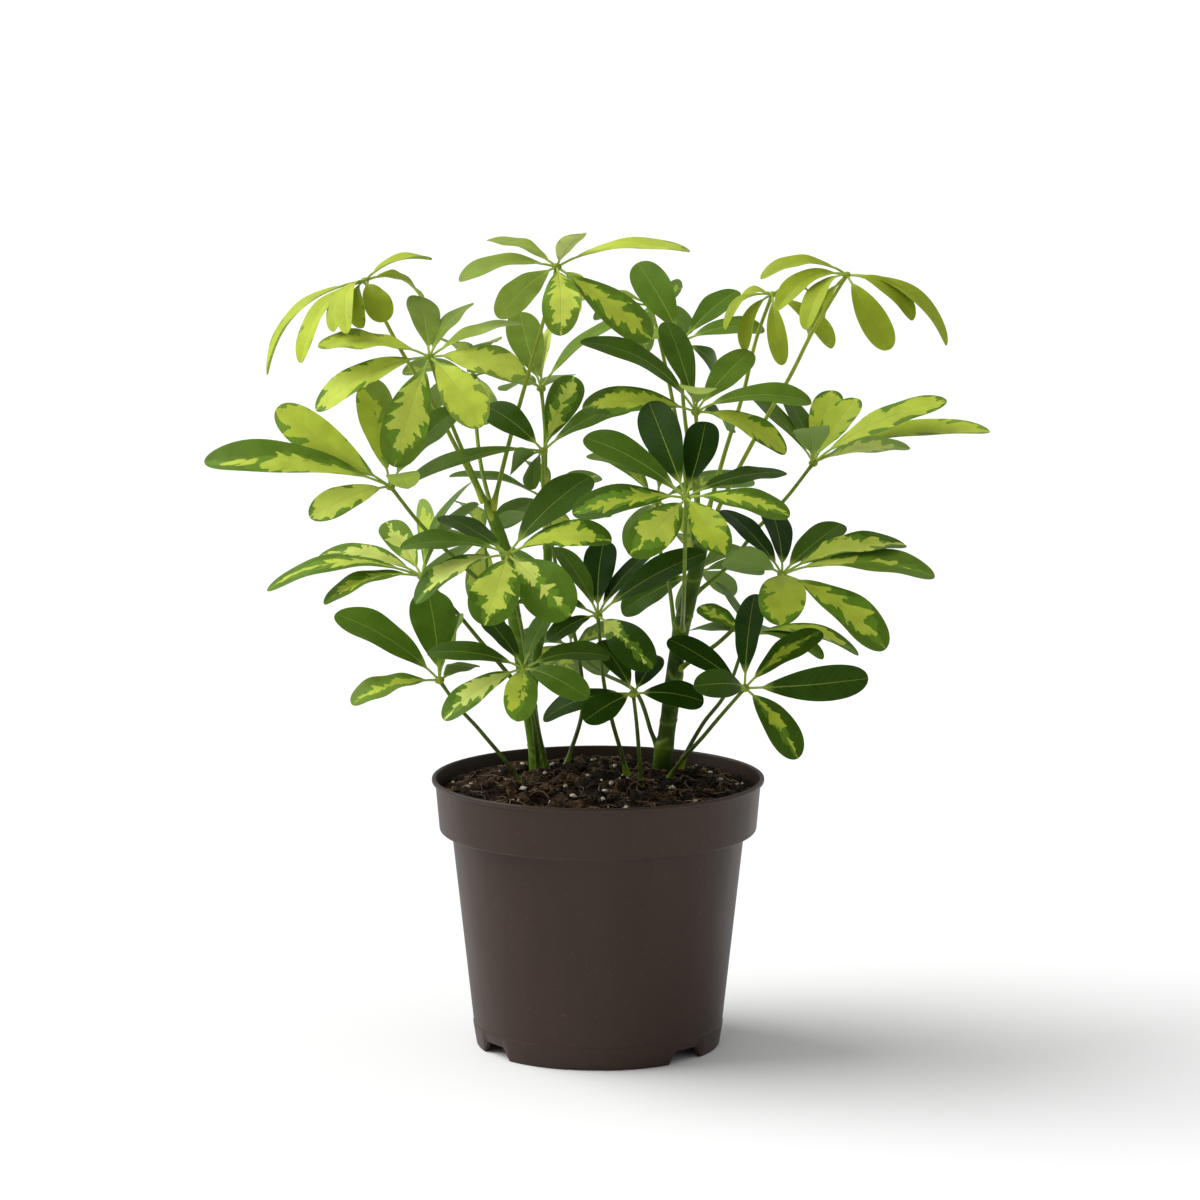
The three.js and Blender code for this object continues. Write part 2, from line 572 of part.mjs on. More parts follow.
// The pot, with notches through its foot ring and drain holes through its raised floor.
function pot() {
  const outline = [
    [0, FLOOR_Z], [FOOT_RADIUS - FOOT_WALL, FLOOR_Z], [FOOT_RADIUS - FOOT_WALL, 0],
    [FOOT_RADIUS - FOOT_EDGE_ROUND, 0], [FOOT_RADIUS, FOOT_EDGE_ROUND],
    [BODY_TOP_RADIUS, BODY_TOP_Z], [COLLAR_EDGE_RADIUS, COLLAR_EDGE_Z], [COLLAR_LOW_RADIUS, COLLAR_LOW_Z],
    [COLLAR_TOP_RADIUS, POT_HEIGHT - LIP_DEPTH], [LIP_RADIUS - LIP_ROUND, POT_HEIGHT - LIP_DEPTH],
    [LIP_RADIUS, POT_HEIGHT - LIP_DEPTH / 2], [LIP_RADIUS - LIP_ROUND, POT_HEIGHT],
    [LIP_INNER_RADIUS + LIP_ROUND, POT_HEIGHT], ...INNER_WALL.toReversed(), [0, FLOOR_Z + FLOOR_THICK],
  ];
  let body = solid(turned(outline));
  for (const azimuth of NOTCH_AZIMUTHS) body = body.subtract(solid(notchCutter(azimuth)));
  for (let k = 0; k < DRAIN_COUNT; k += 1) {
    const angle = (2 * Math.PI * k) / DRAIN_COUNT;
    const drill = new THREE.CylinderGeometry(DRAIN_RADIUS, DRAIN_RADIUS, 3 * FLOOR_THICK, DRAIN_SIDES);
    drill.rotateX(Math.PI / 2);
    drill.translate(DRAIN_RING_RADIUS * Math.cos(angle), DRAIN_RING_RADIUS * Math.sin(angle), FLOOR_Z);
    body = body.subtract(solid(drill));
  }
  return body;
}

// An outline of [radius, height] turned round the pot's axis.
function turned(outline) {
  const geometry = new THREE.LatheGeometry(outline.map(([r, z]) => new THREE.Vector2(r, z)), POT_SEGMENTS);
  geometry.rotateX(Math.PI / 2);
  return geometry;
}

// A trapezium as high as a notch, run outwards through the foot ring.
function notchCutter(azimuth) {
  const outline = new THREE.Shape([
    new THREE.Vector2(-NOTCH_WIDTH / 2, 0), new THREE.Vector2(-NOTCH_WIDTH / 2, -NOTCH_RUN),
    new THREE.Vector2(NOTCH_WIDTH / 2, -NOTCH_RUN), new THREE.Vector2(NOTCH_WIDTH / 2, 0),
    new THREE.Vector2(NOTCH_TOP_WIDTH / 2, NOTCH_HEIGHT),
    new THREE.Vector2(-NOTCH_TOP_WIDTH / 2, NOTCH_HEIGHT),
  ]);
  const cutter = new THREE.ExtrudeGeometry(outline, { depth: 2 * NOTCH_RUN, bevelEnabled: false });
  cutter.rotateX(Math.PI / 2);
  cutter.translate(0, NOTCH_RUN - FOOT_RADIUS, 0);
  cutter.rotateZ(THREE.MathUtils.degToRad(azimuth));
  return cutter;
}

// The soil's surface is a low mound, highest round the stems, whose lumps die out towards the wall.
function soilHeight(x, y, share) {
  const turn = 2 * Math.PI;
  const lumps = Math.sin((turn * x) / LUMP_SPACING[0] + LUMP_SHIFT[0])
    * Math.cos((turn * y) / LUMP_SPACING[1] + LUMP_SHIFT[1]);
  const smallLumps = Math.sin((turn * x) / SMALL_LUMP_SPACING[0] - (turn * y) / SMALL_LUMP_SPACING[1]);
  const relief = SOIL_RELIEF * (lumps + SMALL_LUMP_SHARE * smallLumps);
  return SOIL_EDGE_Z + SOIL_MOUND * (1 - share ** 2) + relief * (1 - share ** SOIL_RELIEF_FADE);
}

// The soil, a little clear of the pot's wall, with plain holes where stems and stalks stand.
function soil(cutters) {
  const wall = INNER_WALL.slice(0, 3).map(([r, z]) => [r - SOIL_CLEARANCE, z + SOIL_CLEARANCE]);
  const [[lowRadius, lowZ], [highRadius, highZ]] = INNER_WALL.slice(2);
  const share = (SOIL_EDGE_Z - lowZ) / (highZ - lowZ);
  const edge = THREE.MathUtils.lerp(lowRadius, highRadius, share) - SOIL_CLEARANCE;
  const outline = [[0, wall[0][1]], ...wall];
  for (let ring = SOIL_RINGS; ring >= 0; ring -= 1) outline.push([(edge * ring) / SOIL_RINGS, SOIL_EDGE_Z]);
  const geometry = turned(outline);
  const at = geometry.attributes.position;
  for (let i = 0; i < at.count; i += 1) {
    const [x, y] = [at.getX(i), at.getY(i)];
    if (at.getZ(i) > SOIL_EDGE_Z - GAP) at.setZ(i, soilHeight(x, y, Math.hypot(x, y) / edge));
  }
  return cutters.reduce((body, cutter) => body.subtract(cutter), solid(geometry));
}

const leaves = Object.entries(LEAVES).map(([name, leaf]) => layOut(name, leaf));
settle(leaves);

const plant = new THREE.Group();
const stems = Object.entries(STEMS);
const thickStems = stems.map(([, stem]) => stemBody(stem, GAP));
const thickStalks = leaves.filter(inSoil).map((leaf) => stalkBody(leaf, GAP));
plant.add(part('pot', pot(), POT_FINISH));
plant.add(part('soil', soil([...thickStems, ...thickStalks]), SOIL_FINISH));
for (const [name, stem] of stems) plant.add(part(name, stemBody(stem, 0), STEM_FINISH));
for (const leaf of leaves) {
  const finish = leaf.name.includes('young') ? YOUNG_LEAF_FINISH : LEAF_FINISH;
  plant.add(part(leaf.name, leafBody(leaf, thickStems), finish));
}

const box = new THREE.Box3().setFromObject(plant);
plant.position.set(-(box.min.x + box.max.x) / 2, -(box.min.y + box.max.y) / 2, 0);

export default plant;
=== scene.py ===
"""A potted umbrella plant: fine leaves, stems, soil and pot, built round the plant's plain solids."""
import logging
import math
from collections.abc import Callable
from dataclasses import dataclass, field
from enum import Enum
from functools import partial

import bpy
import numpy as np
from mathutils import Matrix, Vector


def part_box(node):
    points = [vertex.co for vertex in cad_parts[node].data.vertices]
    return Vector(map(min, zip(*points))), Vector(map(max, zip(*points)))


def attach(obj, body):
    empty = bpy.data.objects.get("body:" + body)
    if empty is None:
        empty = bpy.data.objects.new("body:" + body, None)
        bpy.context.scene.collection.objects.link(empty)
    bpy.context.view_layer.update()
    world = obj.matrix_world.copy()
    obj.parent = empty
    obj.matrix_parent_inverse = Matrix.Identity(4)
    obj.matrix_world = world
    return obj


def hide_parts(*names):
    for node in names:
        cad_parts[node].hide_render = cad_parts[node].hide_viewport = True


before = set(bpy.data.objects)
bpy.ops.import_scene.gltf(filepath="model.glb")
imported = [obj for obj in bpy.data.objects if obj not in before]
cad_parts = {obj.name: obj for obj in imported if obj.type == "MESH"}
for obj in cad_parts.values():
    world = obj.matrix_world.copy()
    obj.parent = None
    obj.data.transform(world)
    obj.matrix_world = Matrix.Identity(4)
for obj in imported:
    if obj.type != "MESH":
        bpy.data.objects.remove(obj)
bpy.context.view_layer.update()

log = logging.getLogger("umbrella_plant")

MM = 0.001
CIRCLE = 2 * math.pi
SEED = 7
POT_LOW, POT_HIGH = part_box("pot")
POT_AXIS = np.array([(POT_LOW.x + POT_HIGH.x) / 2, (POT_LOW.y + POT_HIGH.y) / 2, 0.0]) / MM
LEAN_SHARE = 0.78
Triple = tuple[float, float, float]
Socket = bpy.types.NodeSocket


def linear(colour: str) -> tuple[float, float, float, float]:
    """Turns an sRGB hex colour into linear light.

    Args:
        colour: Six hex digits after a hash sign.

    Returns:
        Red, green, blue and alpha, from 0 to 1.
    """
    channels = [int(colour[i:i + 2], 16) / 255 for i in (1, 3, 5)]
    light = [c / 12.92 if c <= 0.04045 else ((c + 0.055) / 1.055) ** 2.4 for c in channels]
    return (*light, 1.0)


def add_node(tree: bpy.types.NodeTree, kind: str, sockets: dict | tuple = (), out: int | str = 0,
             **settings: str | bool) -> Socket:
    """Adds a shader node, sets its properties, and fills or links its sockets.

    Args:
        tree: The node tree that the node goes into.
        kind: Blender's name of the node, without the "ShaderNode" before it.
        sockets: Values or other nodes' outputs, in the inputs' order, or by their names or numbers.
        out: The output that the caller wants.
        **settings: Properties of the node.

    Returns:
        That output.
    """
    node = tree.nodes.new("ShaderNode" + kind)
    for name, value in settings.items():
        setattr(node, name, value)
    for key, value in sockets.items() if isinstance(sockets, dict) else enumerate(sockets):
        if isinstance(value, Socket):
            tree.links.new(value, node.inputs[key])
        else:
            node.inputs[key].default_value = value
    return node.outputs[out] if node.outputs else None


def add_object(name: str, data: bpy.types.ID) -> bpy.types.Object:
    """Puts a mesh, light or camera into the scene.

    Args:
        name: The object's name.
        data: What it shows.

    Returns:
        The object.
    """
    thing = bpy.data.objects.new(name, data)
    bpy.context.scene.collection.objects.link(thing)
    return thing


def unit(vectors: np.ndarray) -> np.ndarray:
    """Scales a vector, or each of several, to length one."""
    return vectors / np.maximum(np.linalg.norm(vectors, axis=-1, keepdims=True), 1e-12)


def round_angles(count: int) -> np.ndarray:
    """Divides a circle into equal steps, in radians."""
    return np.linspace(0, CIRCLE, count, endpoint=False)


def run_length(way: np.ndarray) -> np.ndarray:
    """Gives how far each point of a curve lies along it."""
    return np.concatenate([[0], np.cumsum(np.linalg.norm(np.diff(way, axis=0), axis=1))])


def tones(shape: tuple[int, ...], first: np.ndarray | float, second: np.ndarray | float = 0.0) -> np.ndarray:
    """Makes a vector for each point of a grid from its first two numbers."""
    return np.stack(np.broadcast_arrays(first, second, np.zeros(shape)), axis=-1)


def ball(rows: int, sides: int, pole: float, radius: np.ndarray, squash: float = 1.0) -> np.ndarray:
    """Makes rings of points round a bumpy ball.

    Args:
        rows: Rings from foot to top.
        sides: Points in each.
        pole: How near the end rings come to the poles, 0.5 at the poles.
        radius: How far each point lies from the middle.
        squash: How high the ball is for its breadth.

    Returns:
        Rings by points by three.
    """
    rise = np.linspace(-pole * math.pi, pole * math.pi, rows)[:, None]
    angle = round_angles(sides)[None, :]
    return np.stack([radius * np.cos(rise) * np.cos(angle), radius * np.cos(rise) * np.sin(angle),
                     squash * radius * np.sin(rise) * np.ones_like(angle)], axis=-1)


def smooth_way(points: np.ndarray, step: float) -> tuple[np.ndarray, np.ndarray]:
    """Draws a smooth curve through points.

    Args:
        points: The points that the curve passes, in order.
        step: About how far apart its own points lie.

    Returns:
        The curve's points, and for each the place between 0 and the last point's index.
    """
    ends = np.vstack([2 * points[0] - points[1], points, 2 * points[-1] - points[-2]])
    way, places = [], []
    for i in range(len(points) - 1):
        p = ends[i:i + 4]
        knots = np.concatenate([[0.0], np.cumsum(np.linalg.norm(np.diff(p, axis=0), axis=1) ** 0.5)])
        count = max(int(math.ceil(np.linalg.norm(p[2] - p[1]) / step)), 1)
        share = np.arange(count + (i == len(points) - 2)) / count
        t = (knots[1] + share * (knots[2] - knots[1]))[:, None]
        a = [p[k] + (p[k + 1] - p[k]) * (t - knots[k]) / (knots[k + 1] - knots[k]) for k in range(3)]
        b = [a[k] + (a[k + 1] - a[k]) * (t - knots[k]) / (knots[k + 2] - knots[k]) for k in range(2)]
        way.append(b[0] + (b[1] - b[0]) * (t - knots[1]) / (knots[2] - knots[1]))
        places.append(i + share)
    return np.vstack(way), np.concatenate(places)


def ring_frames(way: np.ndarray) -> tuple[np.ndarray, np.ndarray]:
    """Works out two directions across a curve that turn with it without twisting.

    Args:
        way: The curve's points.

    Returns:
        Both directions, for each point.
    """
    along = unit(np.gradient(way, axis=0))
    across = np.empty_like(along)
    last = np.array([1.0, 0.0, 0.0]) if abs(along[0][0]) < 0.8 else np.array([0.0, 0.0, 1.0])
    for i, tangent in enumerate(along):
        last = unit(last - tangent * (last @ tangent))
        across[i] = last
    return across, np.cross(along, across)


def tube(way: np.ndarray, radius: np.ndarray, sides: int) -> np.ndarray:
    """Makes rings of points round a curve.

    Args:
        way: The curve's points.
        radius: A radius for each of them, or one for each point of each ring.
        sides: Points in each ring.

    Returns:
        Rings by points by three.
    """
    across, other = ring_frames(way)
    angle = round_angles(sides)[None, :, None]
    circle = across[:, None] * np.cos(angle) + other[:, None] * np.sin(angle)
    return way[:, None] + circle * radius.reshape(len(way), -1, 1)


class MeshBag:
    """Gathers grids of points into one mesh, with a vector for each named attribute at every point."""

    def __init__(self, *attributes: str) -> None:
        """Starts an empty mesh.

        Args:
            *attributes: The names of the attributes that each grid brings.
        """
        self.points: list[np.ndarray] = []
        self.values: dict[str, list[np.ndarray]] = {name: [] for name in attributes}
        self.faces: list[list[int]] = []
        self.slots: list[int] = []
        self.count = 0

    def add_grid(self, grid: np.ndarray, slot: int = 0, **values: np.ndarray) -> None:
        """Adds rings of points as a tube of quads, ended by flat caps.

        Args:
            grid: Rings by points by three, in millimetres from the pot's axis.
            slot: The number of the material.
            **values: Each attribute's vectors, in the grid's shape or one for all.
        """
        rings, sides = grid.shape[:2]
        index = np.arange(self.count, self.count + rings * sides).reshape(rings, sides)
        beside = np.roll(index, -1, axis=1)
        quads = np.stack([index[:-1], beside[:-1], beside[1:], index[1:]], axis=-1).reshape(-1, 4)
        faces = [*quads.tolist(), index[0][::-1].tolist(), index[-1].tolist()]
        self.points.append(grid.reshape(-1, 3))
        self.faces += faces
        self.slots += [slot] * len(faces)
        self.count += index.size
        for name, rows in self.values.items():
            given = np.asarray(values.get(name, (0.0, 0.0, 0.0)), float).reshape(-1, 3)
            rows.append(np.broadcast_to(given, (index.size, 3)))

    def mesh(self, name: str) -> bpy.types.Mesh:
        """Turns the grids into a mesh, in metres where the plant stands.

        Args:
            name: The mesh's name.

        Returns:
            The mesh.
        """
        mesh = bpy.data.meshes.new(name)
        mesh.from_pydata(((np.vstack(self.points) + POT_AXIS) * MM).tolist(), [], self.faces)
        for attribute, rows in self.values.items():
            layer = mesh.attributes.new(attribute, "FLOAT_VECTOR", "POINT")
            layer.data.foreach_set("vector", np.vstack(rows).astype(np.float32).ravel())
        return mesh

    def build(self, name: str, materials: list[bpy.types.Material], slot: str,
              node: str | None = None, sharp: float = 50.0) -> bpy.types.Object:
        """Makes the piece and ties it to the frame.

        Args:
            name: The piece's name.
            materials: Its materials, in the order of the slot numbers.
            slot: The record's material slot, which is not used.
            node: The plain solid that it stands for.
            sharp: The angle in degrees above which an edge stays sharp.

        Returns:
            The piece.
        """
        mesh = self.mesh(name)
        for material in materials:
            mesh.materials.append(material)
        mesh.polygons.foreach_set("material_index", self.slots)
        mesh.validate()
        mesh.shade_smooth()
        mesh.set_sharp_from_angle(angle=math.radians(sharp))
        piece = add_object(name, mesh)
        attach(piece, "root")
        if node:
            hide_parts(node)
        return piece


@dataclass(frozen=True)
class Sight:
    """Where the plant is seen from. A place is [right, up, front], as seen from there, in millimetres."""

    distance: float = 2400.0
    tilt: float = math.radians(8.93)
    target_height: float = 231.0
    side_step: float = 1.0
    frame_pixels: float = 1200.0
    focal_pixels: float = 4700.0

    @property
    def view_up(self) -> np.ndarray:
        """The direction that is up in the picture."""
        return np.array([0.0, math.sin(self.tilt), math.cos(self.tilt)])

    @property
    def view_back(self) -> np.ndarray:
        """The direction that the eye looks in."""
        return np.array([0.0, math.cos(self.tilt), -math.sin(self.tilt)])

    @property
    def target(self) -> np.ndarray:
        """The point that the eye looks at, on the pot's axis."""
        return np.array([0.0, 0.0, self.target_height])

    @property
    def eye(self) -> np.ndarray:
        """The eye's place."""
        return self.target - self.view_back * self.distance

    def place(self, right: float, up: float, front: float) -> np.ndarray:
        """Finds the point seen at (right, up) that lies front millimetres before the pot's axis.

        Args:
            right: Millimetres to the right of the target, as seen.
            up: Millimetres above the target, as seen.
            front: Millimetres before the pot's axis.

        Returns:
            The point.
        """
        ray = self.target + self.view_up * up - self.eye
        ray[0] += right
        return self.eye + ray * ((-front - self.eye[1]) / ray[1])


SIGHT = Sight()


class Paint(Enum):
    """How a leaflet is variegated: the pale patch's breadth, its lean, where it ends and its yellow."""

    GREEN = (0.0, 0.0, 0.6, 0.5)
    STREAK = (0.42, 0.0, 0.95, 0.55)
    HEART = (0.78, 0.0, 0.9, 0.5)
    BROAD = (1.15, 0.0, 1.05, 0.5)
    WHOLE = (1.9, 0.0, 1.3, 0.62)
    PALE = (1.9, 0.0, 1.3, 0.95)
    FOOT = (0.85, 0.0, 0.45, 0.6)
    RIGHT = (0.8, 0.5, 0.95, 0.45)
    LEFT = (0.8, -0.5, 0.95, 0.45)
    OLIVE = (1.2, 0.0, 1.05, 0.3)
    CREAM = (0.85, 0.0, 0.82, 0.75)
    EDGE = (0.74, -0.45, 0.74, 0.5)
    YOUNG = (1.9, 0.0, 1.3, 0.16)
    FRESH = (1.5, 0.0, 1.15, 0.38)
    MUTED = (0.9, 0.0, 1.0, 0.22)
    DIM = (0.42, 0.0, 0.95, 0.2)
    NARROW = (0.24, 0.0, 0.8, 0.3)


@dataclass(frozen=True)
class Leaflet:
    """One leaflet: its tip from the hub and the width that shows, both as seen.

    The width is below zero where the underside shows. The shade is from 0, dark, to 1, pale, and None is
    the leaf's own. The turn says whether the tip comes towards the eye, from -1 to 1, and None lets low
    tips come forward.
    """

    right: float
    up: float
    seen: float
    shade: float | None = None
    paint: Paint = Paint.GREEN
    turn: float | None = None


@dataclass
class Leaf:
    """One compound leaf: a long stalk, a hub, and leaflets round it like the ribs of an umbrella."""

    name: str
    hub: Triple
    stalk: list[Triple]
    root: Triple
    reach: float
    width: float
    arch: float
    shade: float
    rows: list[tuple]
    faces: int = 1
    young: bool = False
    leaflets: list[Leaflet] = field(init=False)
    toward: np.ndarray = field(init=False)
    front: float = field(init=False)

    def __post_init__(self) -> None:
        """Makes the leaflets, and works out how far each tip lies before the hub."""
        self.leaflets = [Leaflet(*row) for row in self.rows]
        self.front = self.hub[2]
        self.toward = np.array([self.lean(leaflet) for leaflet in self.leaflets])

    @property
    def middle(self) -> np.ndarray:
        """The hub's place."""
        return SIGHT.place(self.hub[0], self.hub[1], self.front)

    def lean(self, leaflet: Leaflet) -> float:
        """Finds how far a tip lies before the hub.

        Args:
            leaflet: The leaflet.

        Returns:
            Millimetres towards the eye.
        """
        span = math.hypot(leaflet.right, leaflet.up)
        turn = -self.faces * leaflet.up / span if leaflet.turn is None else leaflet.turn
        return LEAN_SHARE * turn * math.sqrt(max(self.reach ** 2 - span ** 2, 0))


@dataclass(frozen=True)
class Stem:
    """One stem: its radii and places from the soil up, how green it is, and the sheaths on it.

    A sheath is its top's height above the soil, the way it faces in degrees, its length and its swell.
    """

    name: str
    radii: tuple[float, ...]
    path: tuple[Triple, ...]
    green: float
    clasps: tuple[tuple[float, float, float, float], ...] = ()


STEMS = [
    Stem("stem_left", (4.6, 3.9, 3.3, 3.2, 3.0),
         ((-30.5, -86, -21), (-34, -61, -18), (-44, 0, -8), (-46, 20, -4), (-57, 51, 0)), 0.9,
         ((7.0, 12.0, 14.0, 0.9), (36.0, -50.0, 16.0, 0.5), (71.0, 40.0, 16.0, 0.5))),
    Stem("stem_middle", (2.9, 2.6, 2.5, 2.4, 2.2),
         ((-30, -84, -33), (-34, -61, -34), (-33, -42, -34), (-26, 10, -30), (-27, 60, -24)), 0.6),
    Stem("stem_right", (4.9, 4.4, 4.2, 4.0, 3.6),
         ((33, -87, -20), (36, -61, -18), (42, -18, -12), (51, 20, -6), (55, 42, -2)), 0.12,
         ((15.0, -65.0, 22.0, 1.2), (50.0, 30.0, 16.0, 0.5), (78.0, -40.0, 18.0, 0.7))),
]

GREEN, STREAK, HEART, BROAD, WHOLE = Paint.GREEN, Paint.STREAK, Paint.HEART, Paint.BROAD, Paint.WHOLE
PALE, FOOT, RIGHT, LEFT, OLIVE = Paint.PALE, Paint.FOOT, Paint.RIGHT, Paint.LEFT, Paint.OLIVE
CREAM, EDGE, YOUNG, FRESH, MUTED = Paint.CREAM, Paint.EDGE, Paint.YOUNG, Paint.FRESH, Paint.MUTED
DIM, NARROW = Paint.DIM, Paint.NARROW

